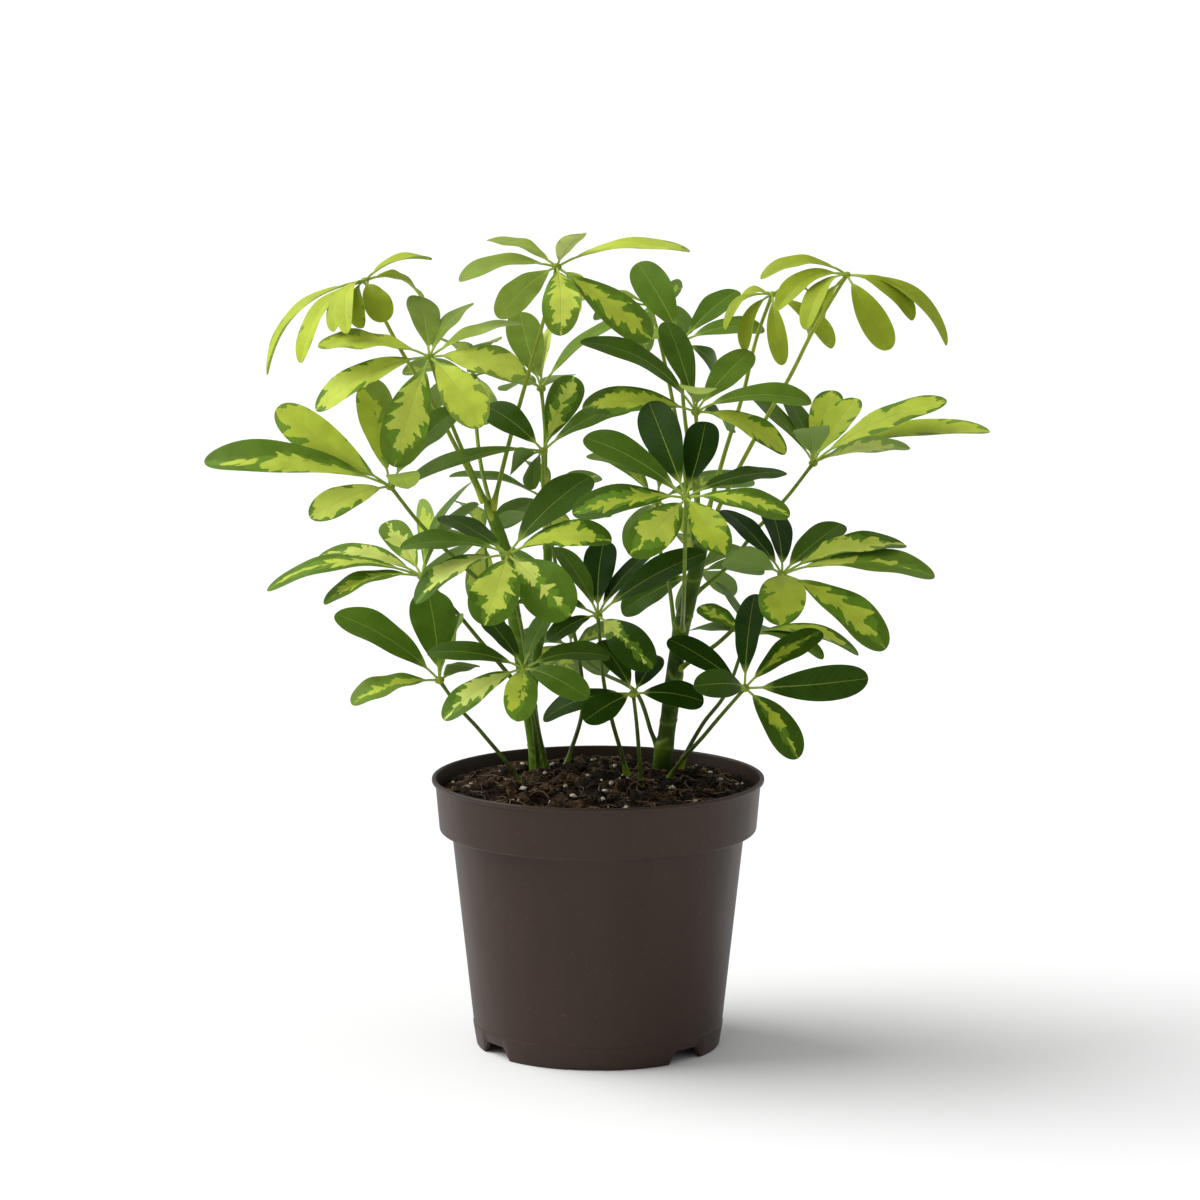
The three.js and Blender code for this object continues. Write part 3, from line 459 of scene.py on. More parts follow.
LEAVES = [
    Leaf("leaf_young_left", (-119, 163, 10), [(-102, 130, 8), (-82, 96, 5)], (-58, 50, 0),
         64, 15, 0.2, 0.84, [
        (-50, -48, 5, 0.7, FRESH), (-33, -42, 8, 0.7, FRESH), (-16, -26, 7, 0.7, FRESH, 0.7),
        (-9, -27, 8, 0.8, FRESH, 0.9), (-1, -24, 8, 0.7, FRESH, 0.6), (10, -21, 14, 0.5, YOUNG, 0.3),
        (34, 11, 4, None, FRESH), (29, -9, 4, None, YOUNG, -0.5)], young=True),
    Leaf("leaf_upper_left", (-86, 124, 46), [(-74, 88, 22)], (-53, 40, -1), 70, 23, 0.12, 0.66, [
        (-5, 31, 16), (20, 27, 9, None, GREEN, -0.8), (47, 17, 7), (49, -9, 15, None, BROAD),
        (26, -36, 20, 0.6, BROAD), (-18, -56, 23, 0.5, HEART), (-58, -27, 14, 0.44, BROAD),
        (-57, 6, 8, None, BROAD)]),
    # Painted sheen: this leaf's pale shade stands in part for the grey sheen that its leaflets show.
    Leaf("leaf_upper_left_back", (-64, 114, -64), [(-60, 70, -36)], (-50, 31, -3), 62, 20, 0.14, 0.6, [
        (4, -24, -10, None, HEART), (-22, -18, -10), (-36, 2, -8, None, STREAK), (12, 18, -9),
        (-14, 18, -9, None, HEART), (30, -4, -8)], faces=-1),
    Leaf("leaf_crown_top", (-21, 170, 16), [(-28, 142, 12), (-36, 114, 6), (-45, 82, 2)], (-54, 46, 0),
         62, 19, 0.12, 0.7, [
        # Painted sheen: the second leaflet's pale shade stands in part for a grey sheen on it.
        (-35, 14, 6, None, GREEN, -0.5), (-50, -7, 7, 0.6), (-30, -26, 15, 0.66),
        (2, -35, 19, 0.56, HEART), (48, -37, 18, 0.52, STREAK), (68, 8, 6, None, BROAD),
        (12, 17, -10, None, PALE, 0.3), (12, -20, 9, None, WHOLE, -0.9)]),
    # Painted sheen: this leaf's pale shade stands in part for the grey sheen on its first leaflet.
    Leaf("leaf_crown_back", (-29, 108, -40), [(-27, 86, -30)], (-27, 58, -24), 64, 20, 0.12, 0.56, [
        (-11, 39, 19), (6, 34, 7, None, BROAD), (44, 37, 7, 0.46, GREEN, -0.5),
        (14, 7, 6, None, GREEN, -1), (-18, -1, 4, None, GREEN, -0.9), (-38, 9, 5, None, GREEN, 0.1)]),
    Leaf("leaf_upper_right", (50, 96, 34), [(51, 68, 22)], (51, 24, -6), 66, 19, 0.14, 0.3, [
        (-59, 36, 11), (-58, 2, 13, 0.32, HEART), (-15, 46, 15, 0.25), (28, 31, 15, 0.46),
        (59, 5, 10, 0.46), (46, -21, 11, 0.44, BROAD), (1, 9, -19, 0.8, GREEN, 0.8),
        (16, -9, 5, None, GREEN, -0.6)]),
    Leaf("leaf_upper_right_back", (43, 132, -45), [(43, 108, -34), (47, 72, -22)], (53, 33, -4),
         60, 19, 0.12, 0.46, [
        (-23, 40, 19), (28, 26, 13), (42, 6, 9), (-28, 2, 7, 0.7, GREEN, -0.8),
        (18, -18, 9, 0.27, GREEN, -0.8)]),
    Leaf("leaf_crown_far", (27, 150, -85), [(33, 126, -70), (42, 80, -44)], (50, 20, -6),
         56, 17, 0.14, 0.45, [
        (-36, 3, -5, None, WHOLE), (-29, -7, -5), (-8, 18, -10, None, GREEN, -0.6),
        (16, 10, -8, None, HEART, -0.5), (20, -14, -10), (-2, -24, -12, None, STREAK)], faces=-1),
    Leaf("leaf_young_small", (89, 156, -8), [(81, 134, -10), (74, 105, -12), (65, 76, -12)], (55, 41, -2),
         40, 10, 0.24, 0.78, [
        (-17, -4, 4, None, YOUNG, -0.2), (-24, -18, 4, None, YOUNG), (-14, -29, 7, None, YOUNG),
        (5, -36, 10, None, YOUNG), (18, -23, 6, None, YOUNG, -0.7), (31, -27, 9, None, YOUNG, 0.2),
        (20, 0, 4, None, YOUNG, -0.5)], young=True),
    Leaf("leaf_young_right", (127, 166, 8), [(109, 136, 8), (99, 116, 8), (82, 86, 8), (65, 54, 5)],
         (52, 26, -5), 62, 15, 0.2, 0.86, [
        (-44, -2, 5, None, YOUNG), (-36, -18, 9, None, YOUNG), (-21, -28, 8, None, YOUNG),
        (-10, -27, 8, None, YOUNG, -0.8), (22, -38, 15, 0.66, YOUNG, 0.4), (34, -23, 8, None, YOUNG, 0.2),
        (51, -36, 6, None, YOUNG)], young=True),
    Leaf("leaf_right_upper", (110, 70, -16), [(96, 52, -22), (81, 36, -26), (66, 17, -24)], (46, 0, -9),
         74, 20, 0.1, 0.58, [
        (9, 37, 17, 0.3, OLIVE), (22, 33, 15, 0.35, OLIVE, -0.4), (68, 32, 12, 0.5, BROAD, -0.6),
        (90, 16, 8, 0.6, BROAD), (49, 8, -8, 0.6, CREAM, 0.5), (-31, 35, 7, 0.4),
        (-14, 34, 11, 0.26, GREEN, -0.9), (-2, 18, -19, 0.46, GREEN, 0.7)]),
    Leaf("leaf_left_upper", (-106, 58, 46), [(-91, 39, 36), (-75, 23, 22)], (-45, -4, -8),
         78, 20, 0.12, 0.56, [
        (-95, 13, 16, 0.44, EDGE), (-58, 40, 20, 0.52, BROAD), (-10, 55, 19, 0.62, LEFT),
        (-41, -16, 14, 0.44, BROAD), (34, 39, 13, 0.5, GREEN, -0.45), (9, -1, 4, 0.7, GREEN, 0.9)]),
    Leaf("leaf_middle_upper", (-28, 76, 26), [(-28, 58, 10)], (-26, 36, -27), 76, 18, 0.12, 0.4, [
        (-29, 23, 15, 0.17), (16, 38, 18, 0.38, STREAK), (-70, -17, 8, 0.45, GREEN, 0.6), (47, 24, 10),
        (18, 26, 7, 0.5, GREEN, -0.8), (-16, -9, -10, 0.33, GREEN, 0.6), (-4, -19, 7, 0.45, GREEN, 0.4)]),
    Leaf("leaf_middle_back", (-27, 51, -72), [(-22, 20, -58), (-10, -28, -56), (-8, -56, -54)],
         (-17, -88, -36), 58, 18, 0.12, 0.4, [
        (-49, 12, 5), (-24, -14, -12, 0.12), (8, -24, -12, 0.5, HEART), (28, 12, -9, None, STREAK),
        (-10, 20, -9), (34, -8, -9)], faces=-1),
    Leaf("leaf_left_lower", (-90, 12, -14), [(-76, -2, -14), (-60, -21, -15)], (-39, -46, -17),
         70, 19, 0.14, 0.6, [
        (-79, -7, 8, 0.5, STREAK), (-52, 11, 10, 0.45, CREAM, -0.5), (-50, -14, 8, 0.5, STREAK),
        (-18, 28, 15, 0.5, CREAM), (-1, 39, -9, 0.6, HEART), (25, 48, 5, 0.4),
        (29, 37, -5, 0.3, GREEN, -0.4)]),
    Leaf("leaf_front_left", (-46, 23, 78), [(-42, 0, 56), (-38, -20, 34), (-34, -51, 4)], (-26, -89, -14),
         72, 27, 0.12, 0.42, [
        (-55, 4, 8, 0.36), (-33, 20, 10, 0.17, GREEN, -0.8), (42, 40, 17, 0.24),
        (53, 7, 13, 0.32, HEART, 0.3), (32, -31, 27, 0.4, FOOT), (-12, -36, 24, 0.36, HEART),
        (-47, -25, 11, 0.3, CREAM)]),
    Leaf("leaf_front_right", (45, 52, 84), [(44, 9, 58)], (43, -16, -11), 74, 20, 0.12, 0.2, [
        (-19, 49, 20, 0.0), (10, 39, 17, 0.0), (51, 13, 9, 0.14, GREEN, -0.5), (53, -9, 11, 0.42, STREAK),
        (20, -29, 16, 0.3, MUTED), (-29, -29, 20, 0.38, HEART), (-58, -8, 14, 0.24, DIM, 0.3),
        (-52, 31, 14, 0.32, GREEN, -0.4), (-50, 22, 9, 0.5, GREEN, -0.9)]),
    Leaf("leaf_right_middle", (94, 13, 40), [(82, -2, 30), (73, -11, 22), (60, -23, 8)], (40, -36, -14),
         76, 24, 0.12, 0.36, [
        (-30, 33, 11, 0.0), (-7, 37, 14, 0.02), (30, 26, 14, 0.27), (63, 15, 12, None, HEART, -0.6),
        (78, -1, 11, 0.46, FOOT), (53, -38, 17, 0.46, HEART), (-1, -26, 24, 0.46, OLIVE),
        (-29, 8, -14, 0.34, GREEN, 0.2)]),
    Leaf("leaf_middle_dark", (0, -8, 32), [(3, -42, 16), (7, -61, 4)], (15, -91, -4),
         66, 19, 0.12, 0.06, [
        (3, 38, 17, 0.02), (27, 33, 9, None, GREEN, -0.9), (55, 32, 14), (28, -27, 19, 0.12, FOOT),
        (-25, -13, 9, 0.12), (-21, 35, 11, 0.36), (-41, 7, 7)]),
    Leaf("leaf_low_middle", (18, -48, 46), [(20, -66, 32)], (22, -97, 16), 52, 17, 0.14, 0.02, [
        (-25, -14, 14), (-46, -13, 11, 0.06, GREEN, -0.2), (36, -4, 14), (-17, 27, 13),
        (11, 20, 13, None, GREEN, -1)]),
    Leaf("leaf_low_front", (-38, -35, 76), [(-33, -62, 38)], (-30.5, -88, -8), 62, 18, 0.12, 0.3, [
        (-49, 8, 11, 0.2), (-41, -26, 13, 0.42, CREAM), (-3, -27, 17, 0.46, RIGHT),
        (33, -15, 14, 0.32, GREEN, 0.8), (44, 6, 10, 0.15), (14, 30, 9, 0.38), (-20, 27, 10, 0.12)]),
    Leaf("leaf_low_left", (-81, -41, 26), [(-71, -55, 24), (-60, -67, 22)], (-37, -98, 16),
         66, 23, 0.1, 0.42, [
        (-53, 34, 17, 0.46), (-45, -12, 10, 0.48, STREAK), (-6, 46, 23, 0.34, GREEN, -0.7),
        (18, 8, 7, 0.5, GREEN, -0.3), (11, 34, 7, 0.48, GREEN, -0.4)]),
    Leaf("leaf_low_right", (75, -45, 62), [(56, -67, 36)], (36, -93, 2), 64, 18, 0.1, 0.06, [
        (-39, 25, 13), (5, 48, 14, 0.0), (39, 29, 13, 0.24, NARROW, -0.6), (63, 5, 18, 0.12),
        (27, -36, 16, 0.16, NARROW), (-26, 1, 14, 0.12, GREEN, 0.9)]),
    Leaf("leaf_low_right_back", (76, -18, -58), [(65, -48, -44), (53, -64, -36)], (42, -86, -28),
         58, 17, 0.14, 0.4, [
        (-15, 27, 4), (-24, 15, 10, 0.36, STREAK, -0.8), (-28, 3, 5, None, GREEN, -0.8),
        (14, 3, 6, None, GREEN, -1), (39, -12, 6), (57, -10, 7, 0.35, HEART, -0.4)]),
    Leaf("leaf_right_far", (51, 14, -72), [(45, 0, -52)], (43, -12, -14), 58, 17, 0.12, 0.36, [
        (-39, -20, 14, 0.26), (18, -12, -10), (-10, 20, -10, None, HEART), (24, 12, -9),
        (-6, -24, -10, None, STREAK), (34, 0, -8)], faces=-1),
    Leaf("leaf_middle_far", (30, 50, -100), [(31, 29, -84), (36, 9, -56)], (40, -22, -13),
         62, 19, 0.12, 0.3, [
        (-40, -4, -12, None, HEART), (-4, 40, -14), (50, 10, -10, None, STREAK),
        (30, -24, -14, None, BROAD), (-13, -26, -14), (-35, 31, -12, None, HEART)], faces=-1),
    Leaf("leaf_left_far", (-58, 30, -88), [(-56, 10, -68), (-50, -8, -40)], (-42, -24, -14),
         60, 19, 0.12, 0.3, [
        (-38, -4, -9), (-14, 20, -9, None, HEART), (24, 14, -9), (34, -30, -14, None, STREAK),
        (0, -36, -16, None, BROAD), (-31, -28, -10)], faces=-1),
    Leaf("leaf_low_far", (-14, -24, -84), [(0, -36, -66), (20, -48, -34), (27, -67, -21)], (32, -79, -18),
         54, 17, 0.12, 0.24, [
        (-28, 6, -9), (26, 8, -9, None, STREAK), (-8, 18, -9), (-22, -12, -12, None, HEART),
        (18, -14, -12), (0, -20, -14, None, STREAK)], faces=-1),
]


@dataclass(frozen=True)
class Settling:
    """Bends leaves that would cross apart along the line of sight, as the plain solids are."""

    blade_samples: tuple[float, ...] = (0.3, 0.5, 0.7, 0.9)
    stalk_step: float = 8.0
    stalk_radius: float = 2.0
    rounds: int = 160
    clearance: float = 2.2
    share: float = 0.35
    depth_share: float = 0.25
    hub_step: float = 1.0
    tip_step: float = 2.0

    def line_samples(self, points: list, radius: float, leaf: int) -> list[tuple]:
        """Spreads samples along a stalk or a stem.

        Args:
            points: Its places.
            radius: Its radius.
            leaf: The number of the leaf or stem.

        Returns:
            Rows of leaf, leaflet, share, right, up, front, radius and depth.
        """
        rows = []
        for a, b in zip(points, points[1:]):
            start, end = np.array(a, float), np.array(b, float)
            steps = math.ceil(np.linalg.norm(end - start) / self.stalk_step)
            for k in range(steps):
                rows.append((leaf, -1, 0.0, *(start + (end - start) * ((k + 0.5) / steps)), radius, 0.0))
        return rows

    def samples(self) -> np.ndarray:
        """Gathers the samples of all leaves, stalks and stems.

        Returns:
            Rows as in line_samples.
        """
        rows = []
        for i, leaf in enumerate(LEAVES):
            for k, leaflet in enumerate(leaf.leaflets):
                deep = self.depth_share * math.sqrt(max(leaf.width ** 2 - leaflet.seen ** 2, 0))
                for t in self.blade_samples:
                    rows.append((i, k, t, leaf.hub[0] + leaflet.right * t, leaf.hub[1] + leaflet.up * t,
                                 leaf.front + leaf.toward[k] * t, abs(leaflet.seen) / 2, deep))
        for i, leaf in enumerate(LEAVES):
            way = [(leaf.hub[0], leaf.hub[1], leaf.front), *leaf.stalk, leaf.root]
            rows += self.line_samples(way, self.stalk_radius, i)
        for i, stem in enumerate(STEMS):
            rows += self.line_samples(list(stem.path), stem.radii[len(stem.radii) // 2], len(LEAVES) + i)
        return np.array(rows)

    def run(self) -> None:
        """Moves hubs and tips until no two leaves cross."""
        most = max(len(leaf.leaflets) for leaf in LEAVES) + 1
        for _ in range(self.rounds):
            rows = self.samples()
            leaf, leaflet = rows[:, 0].astype(int), rows[:, 1].astype(int)
            gap = np.hypot(rows[:, None, 3] - rows[None, :, 3], rows[:, None, 4] - rows[None, :, 4])
            near = gap < rows[:, None, 6] + rows[None, :, 6]
            near &= (leaf[:, None] != leaf[None, :]) & ((leaflet[:, None] >= 0) | (leaflet[None, :] >= 0))
            a, b = np.nonzero(np.triu(near, 1))
            code = leaf * most + leaflet + 1
            keys, group = np.unique(code[a] * (code.max() + 1) + code[b], return_inverse=True)
            ahead = rows[a, 5] - rows[b, 5]
            order = np.bincount(group, ahead, len(keys))
            sign = np.where(order < 0, -1.0, 1.0)[group]
            line_room = np.where(leaflet < 0, rows[:, 6], 0.0)
            wanted = self.clearance + rows[a, 7] + rows[b, 7] + line_room[a] + line_room[b]
            force = np.maximum(wanted - sign * ahead, 0) * sign * self.share
            push = np.bincount(a, force, len(rows)) - np.bincount(b, force, len(rows))
            push[leaflet < 0] = 0
            for i, one in enumerate(LEAVES):
                mine = leaf == i
                hub = (push * (1 - rows[:, 2]))[mine].sum() / len(one.leaflets)
                one.front += float(np.clip(hub, -self.hub_step, self.hub_step))
                tips = [(push * rows[:, 2])[mine & (leaflet == k)].sum() for k in range(len(one.leaflets))]
                one.toward += np.clip(tips, -self.tip_step, self.tip_step)


Maker = Callable[..., Socket]


def attribute(node: Maker, name: str) -> list[Socket]:
    """Reads a vector attribute as three numbers.

    Args:
        node: Adds a node to the material.
        name: The attribute's name.

    Returns:
        Its three numbers as outputs.
    """
    vector = node("Attribute", (), "Vector", attribute_name=name)
    return list(node("SeparateXYZ", (vector,)).node.outputs)


def per_metre(size_mm: float) -> float:
    """Turns a pattern's real size in millimetres into its scale."""
    return 1 / (size_mm * MM)


def coats(node: Maker, colour: str | Socket, *layers: tuple[Socket, str | Socket]) -> Socket:
    """Lays colours over a first one, each as far as it covers.

    Args:
        node: Adds a node to the material.
        colour: The first colour, in hex or as an output.
        *layers: Pairs of how far a colour covers and the colour.

    Returns:
        The last colour.
    """
    for cover, over in layers:
        below, above = [linear(c) if isinstance(c, str) else c for c in (colour, over)]
        colour = node("Mix", {0: cover, 6: below, 7: above}, 2, data_type="RGBA")
    return colour


def range_of(node: Maker, level: Socket, steps: Triple, colours: tuple[str, str, str]) -> Socket:
    """Runs through three colours as a level rises.

    Args:
        node: Adds a node to the material.
        level: The level.
        steps: The levels at which the colours stand.
        colours: The colours, in hex.

    Returns:
        The colour at the level.
    """
    low, high = [node("MapRange", (level, *ends)) for ends in (steps[:2], steps[1:])]
    return coats(node, colours[0], (low, colours[1]), (high, colours[2]))


class Finish:
    """A real material as one shader: each kind has a title and says what the shader's sockets get."""

    title: str

    def sockets(self, node: Maker) -> dict:
        """Works out the shader's sockets.

        Args:
            node: Adds a node to the material.

        Returns:
            Their values and links by name.
        """
        raise NotImplementedError

    def build(self) -> bpy.types.Material:
        """Makes the material.

        Returns:
            The material.
        """
        material = bpy.data.materials.new(self.title)
        material.use_nodes = True
        tree = material.node_tree
        tree.nodes.clear()
        shader = add_node(tree, "BsdfPrincipled", self.sockets(partial(add_node, tree)))
        add_node(tree, "OutputMaterial", {"Surface": shader})
        return material


@dataclass(frozen=True)
class WaxyBlade(Finish):
    """Living leaf blade under a grown waxy skin: a soft gloss over jagged yellow-green patches and veins."""

    title: str = "waxy_blade"
    greens: tuple[str, str, str] = ("#1b3703", "#56741e", "#b0c254")
    yellows: tuple[str, str, str] = ("#7f8f18", "#b7c644", "#d6dc88")
    half_green: str = "#6d9429"
    underside: str = "#86a054"
    rib: str = "#a6bd52"
    jag_count: float = 5.0
    jag_reach: float = 0.34
    block_reach: float = 0.16
    vein_count: float = 12.0
    vein_slant: float = 0.17
    rib_half_mm: float = 0.5
    blotch_mm: float = 9.0
    # The skin's real cells are about 0.05 mm across, too fine to show, so they are drawn coarser.
    cell_mm: float = 0.9

    def patch(self, node: Maker, across: Socket, along: Socket, aside: Socket, vein: Socket) -> list[Socket]:
        """Draws the pale patch, whose jags follow the veins, and the half-pale rim round it.

        Args:
            node: Adds a node to the material.
            across: The place across the blade, from -1 to 1.
            along: The place along the blade, from 0 to 1.
            aside: The place across the blade without its sign.
            vein: The place along the blade where the vein that passes here starts.

        Returns:
            How pale and how half-pale the blade is.
        """
        amount, lean, seed = attribute(node, "patch")
        end = attribute(node, "reach")[0]
        side = node("Math", (across,), operation="SIGN")
        seed_step = node("Math", (seed, 57.0, side), operation="MULTIPLY_ADD")
        jags_at = node("Math", (vein, self.jag_count), operation="MULTIPLY")
        at = node("CombineXYZ", (jags_at, seed_step, seed))
        broad = node("TexNoise", {"Vector": at, "Scale": 0.6, "Detail": 1.0})
        broad = node("MapRange", (broad, 0.3, 0.7, 0.5, 1.25))
        jagged = node("TexNoise", {"Vector": at, "Scale": 1.9, "Detail": 1.0})
        jagged = node("MapRange", (jagged, 0.3, 0.7, -self.jag_reach, self.jag_reach))
        block_at = node("Math", (aside, 1.3), operation="MULTIPLY")
        block_at = node("CombineXYZ", (jags_at, block_at, seed_step))
        blocks = node("TexVoronoi", {"Vector": block_at, "Scale": 2.3}, "Color")
        blocks = node("MapRange", (blocks, 0, 1, -self.block_reach, self.block_reach))
        jagged = node("Math", (jagged, blocks), operation="ADD")
        any_patch = node("Math", (amount, 3.0), operation="MULTIPLY", use_clamp=True)
        jagged = node("Math", (jagged, any_patch), operation="MULTIPLY")
        start = node("MapRange", (along, -0.02, 0.22, 0.3, 1.0), interpolation_type="SMOOTHSTEP")
        before_end = node("Math", (end, along), operation="SUBTRACT")
        stop = node("MapRange", (before_end, -0.06, 0.3, 0.0, 1.0), interpolation_type="SMOOTHSTEP")
        reach = node("Math", (start, stop), operation="MULTIPLY")
        reach = node("Math", (reach, amount), operation="MULTIPLY")
        reach = node("Math", (reach, broad, jagged), operation="MULTIPLY_ADD")
        off_centre = node("Math", (across, lean), operation="SUBTRACT")
        off_centre = node("Math", (off_centre,), operation="ABSOLUTE")
        inside = node("Math", (reach, off_centre), operation="SUBTRACT")
        pale = node("MapRange", (inside, -0.025, 0.035))
        half = node("Math", (any_patch, 0.2, inside), operation="MULTIPLY_ADD")
        half = node("Math", (jagged, -1.6, half), operation="MULTIPLY_ADD")
        half = node("MapRange", (half, -0.03, 0.04))
        return [pale, node("Math", (half, any_patch), operation="MULTIPLY")]

    def sockets(self, node: Maker) -> dict:
        """Works out the shader's sockets.

        Args:
            node: Adds a node to the material.

        Returns:
            Their values and links by name.
        """
        across, along, from_rib = attribute(node, "blade")
        shade, yellow, under = attribute(node, "tone")
        place = node("TexCoord", (), "Object")
        aside = node("Math", (across,), operation="ABSOLUTE")
        vein = node("Math", (aside, -self.vein_slant, along), operation="MULTIPLY_ADD")
        pale, half = self.patch(node, across, along, aside, vein)
        blotch = node("TexNoise", {"Vector": place, "Scale": per_metre(self.blotch_mm), "Detail": 3.0})
        blotch = node("MapRange", (blotch, 0.3, 0.7, 0.88, 1.1))

        wave = node("Math", (vein, CIRCLE * self.vein_count), operation="MULTIPLY")
        wave = node("Math", (wave,), operation="SINE")
        veins = node("MapRange", (wave, 0.86, 1.0))
        fade = node("MapRange", (aside, 0.95, 0.1))
        veins = node("Math", (veins, fade), operation="MULTIPLY")
        vein_light = node("Math", (veins, 0.05), operation="MULTIPLY")
        taper = node("MapRange", (along, 0, 1, self.rib_half_mm, 0.28 * self.rib_half_mm))
        rib = node("Math", (from_rib,), operation="ABSOLUTE")
        rib = node("Math", (rib, taper), operation="DIVIDE")
        rib = node("MapRange", (rib, 1.0, 0.3))
        rib_light = node("MapRange", (along, 0.0, 0.9, 0.42, 0.12))
        rib_light = node("Math", (rib, rib_light), operation="MULTIPLY")
        base = node("MapRange", (along, 0.0, 0.14, 0.85, 0.0))
        dull = node("MapRange", (pale, 0, 1, 0.55, 0.25))
        dull = node("Math", (under, dull), operation="MULTIPLY")

        green = range_of(node, shade, (0.0, 0.45, 1.0), self.greens)
        gold = range_of(node, yellow, (0.0, 0.5, 1.0), self.yellows)
        rim = node("Mix", {0: 0.6, 6: green, 7: linear(self.half_green)}, 2, data_type="RGBA",
                   blend_type="LIGHTEN")
        colour = coats(node, green, (half, rim), (pale, gold))
        colour = node("Mix", {0: 1.0, 6: colour, 7: blotch}, 2, data_type="RGBA", blend_type="MULTIPLY")
        colour = coats(node, colour, (vein_light, self.rib), (rib_light, self.rib), (base, self.rib),
                       (dull, self.underside))

        cells = node("TexVoronoi", {"Vector": place, "Scale": per_metre(self.cell_mm)}, "Distance",
                     feature="DISTANCE_TO_EDGE")
        cells = node("Math", (cells, 0.35), operation="MULTIPLY")
        height = node("Math", (veins, -0.2, cells), operation="MULTIPLY_ADD")
        height = node("Math", (rib, -0.8, height), operation="MULTIPLY_ADD")
        bump = node("Bump", {"Height": height, "Strength": 0.5, "Distance": 0.35 * MM})
        matt = node("MapRange", (under, 0, 1, 0.4, 0.65))
        rough = node("Math", (matt, blotch), operation="MULTIPLY")
        return {"Base Color": colour, "Roughness": rough, "Normal": bump, "IOR": 1.45,
                "Subsurface Weight": 0.18, "Subsurface Radius": (0.6, 1.0, 0.2),
                "Subsurface Scale": 0.8 * MM, "Specular IOR Level": 0.07}


@dataclass(frozen=True)
class GreenStalk(Finish):
    """Living leaf stalk, grown long: smooth waxed skin, yellow-green high up and browner low down in painted
    shade.
    """

    title: str = "green_stalk"
    colours: tuple[str, str, str] = ("#343a1c", "#627c1e", "#a2b03a")
    streak_mm: float = 1.2
    mottle_mm: float = 1000 / 90

    def sockets(self, node: Maker) -> dict:
        """Works out the shader's sockets.

        Args:
            node: Adds a node to the material.

        Returns:
            Their values and links by name.
        """
        # The tone is partly painted shade: the stalk is darker low down, where the leaves above shade it.
        shade = attribute(node, "tone")[0]
        place = node("TexCoord", (), "Object")
        drawn = node("Mapping", {"Vector": place, "Scale": (1.0, 1.0, 0.12)})
        streak = node("TexNoise", {"Vector": drawn, "Scale": per_metre(self.streak_mm), "Detail": 2.0})
        mottle = node("TexNoise", {"Vector": place, "Scale": per_metre(self.mottle_mm), "Detail": 2.0})
        mixed = node("Math", (streak, mottle), operation="ADD")
        mixed = node("MapRange", (mixed, 0.7, 1.3, -0.14, 0.14))
        level = node("Math", (shade, mixed), operation="ADD")
        rough = node("MapRange", (streak, 0.3, 0.7, 0.34, 0.48))
        bump = node("Bump", {"Height": streak, "Strength": 0.3, "Distance": 0.2 * MM})
        return {"Base Color": range_of(node, level, (0.0, 0.5, 1.0), self.colours), "Roughness": rough,
                "Normal": bump, "Subsurface Weight": 0.1, "Subsurface Radius": (0.7, 1.0, 0.25),
                "Subsurface Scale": 0.8 * MM, "Specular IOR Level": 0.12}


@dataclass(frozen=True)
class YoungBark(Finish):
    """Green bark, grown on a young stem: soft sheen, pale pores, ring-shaped scars and some brown."""

    title: str = "young_bark"
    green: str = "#587a18"
    dark_green: str = "#1c3303"
    brown: str = "#4d4a1e"
    scar: str = "#93a54a"
    pore_mm: float = 2.6
    patch_mm: float = 14.0
    fibre_mm: float = 1000 / 700

    def sockets(self, node: Maker) -> dict:
        """Works out the shader's sockets.

        Args:
            node: Adds a node to the material.

        Returns:
            Their values and links by name.
        """
        level, scar, _ = attribute(node, "tone")
        place = node("TexCoord", (), "Object")
        patch = node("TexNoise", {"Vector": place, "Scale": per_metre(self.patch_mm), "Detail": 4.0})
        shift = node("MapRange", (patch, 0.3, 0.7, -0.3, 0.3))
        level = node("Math", (level, shift), operation="ADD", use_clamp=True)
        drawn = node("Mapping", {"Vector": place, "Scale": (1.0, 1.0, 0.25)})
        fibre = node("TexNoise", {"Vector": drawn, "Scale": per_metre(self.fibre_mm), "Detail": 3.0})
        brown = node("MapRange", (fibre, 0.5, 0.72, 0.0, 0.45))
        pores = node("TexVoronoi", {"Vector": place, "Scale": per_metre(self.pore_mm)}, "Distance")
        pores = node("MapRange", (pores, 0.22, 0.1, 0.0, 0.16))
        colour = coats(node, self.dark_green, (level, self.green), (brown, self.brown), (pores, self.scar),
                       (scar, self.scar))
        height = node("Math", (pores, 1.2, fibre), operation="MULTIPLY_ADD")
        bump = node("Bump", {"Height": height, "Strength": 0.5, "Distance": 0.3 * MM})
        rough = node("MapRange", (fibre, 0.3, 0.7, 0.42, 0.6))
        return {"Base Color": colour, "Roughness": rough, "Normal": bump, "Specular IOR Level": 0.1}


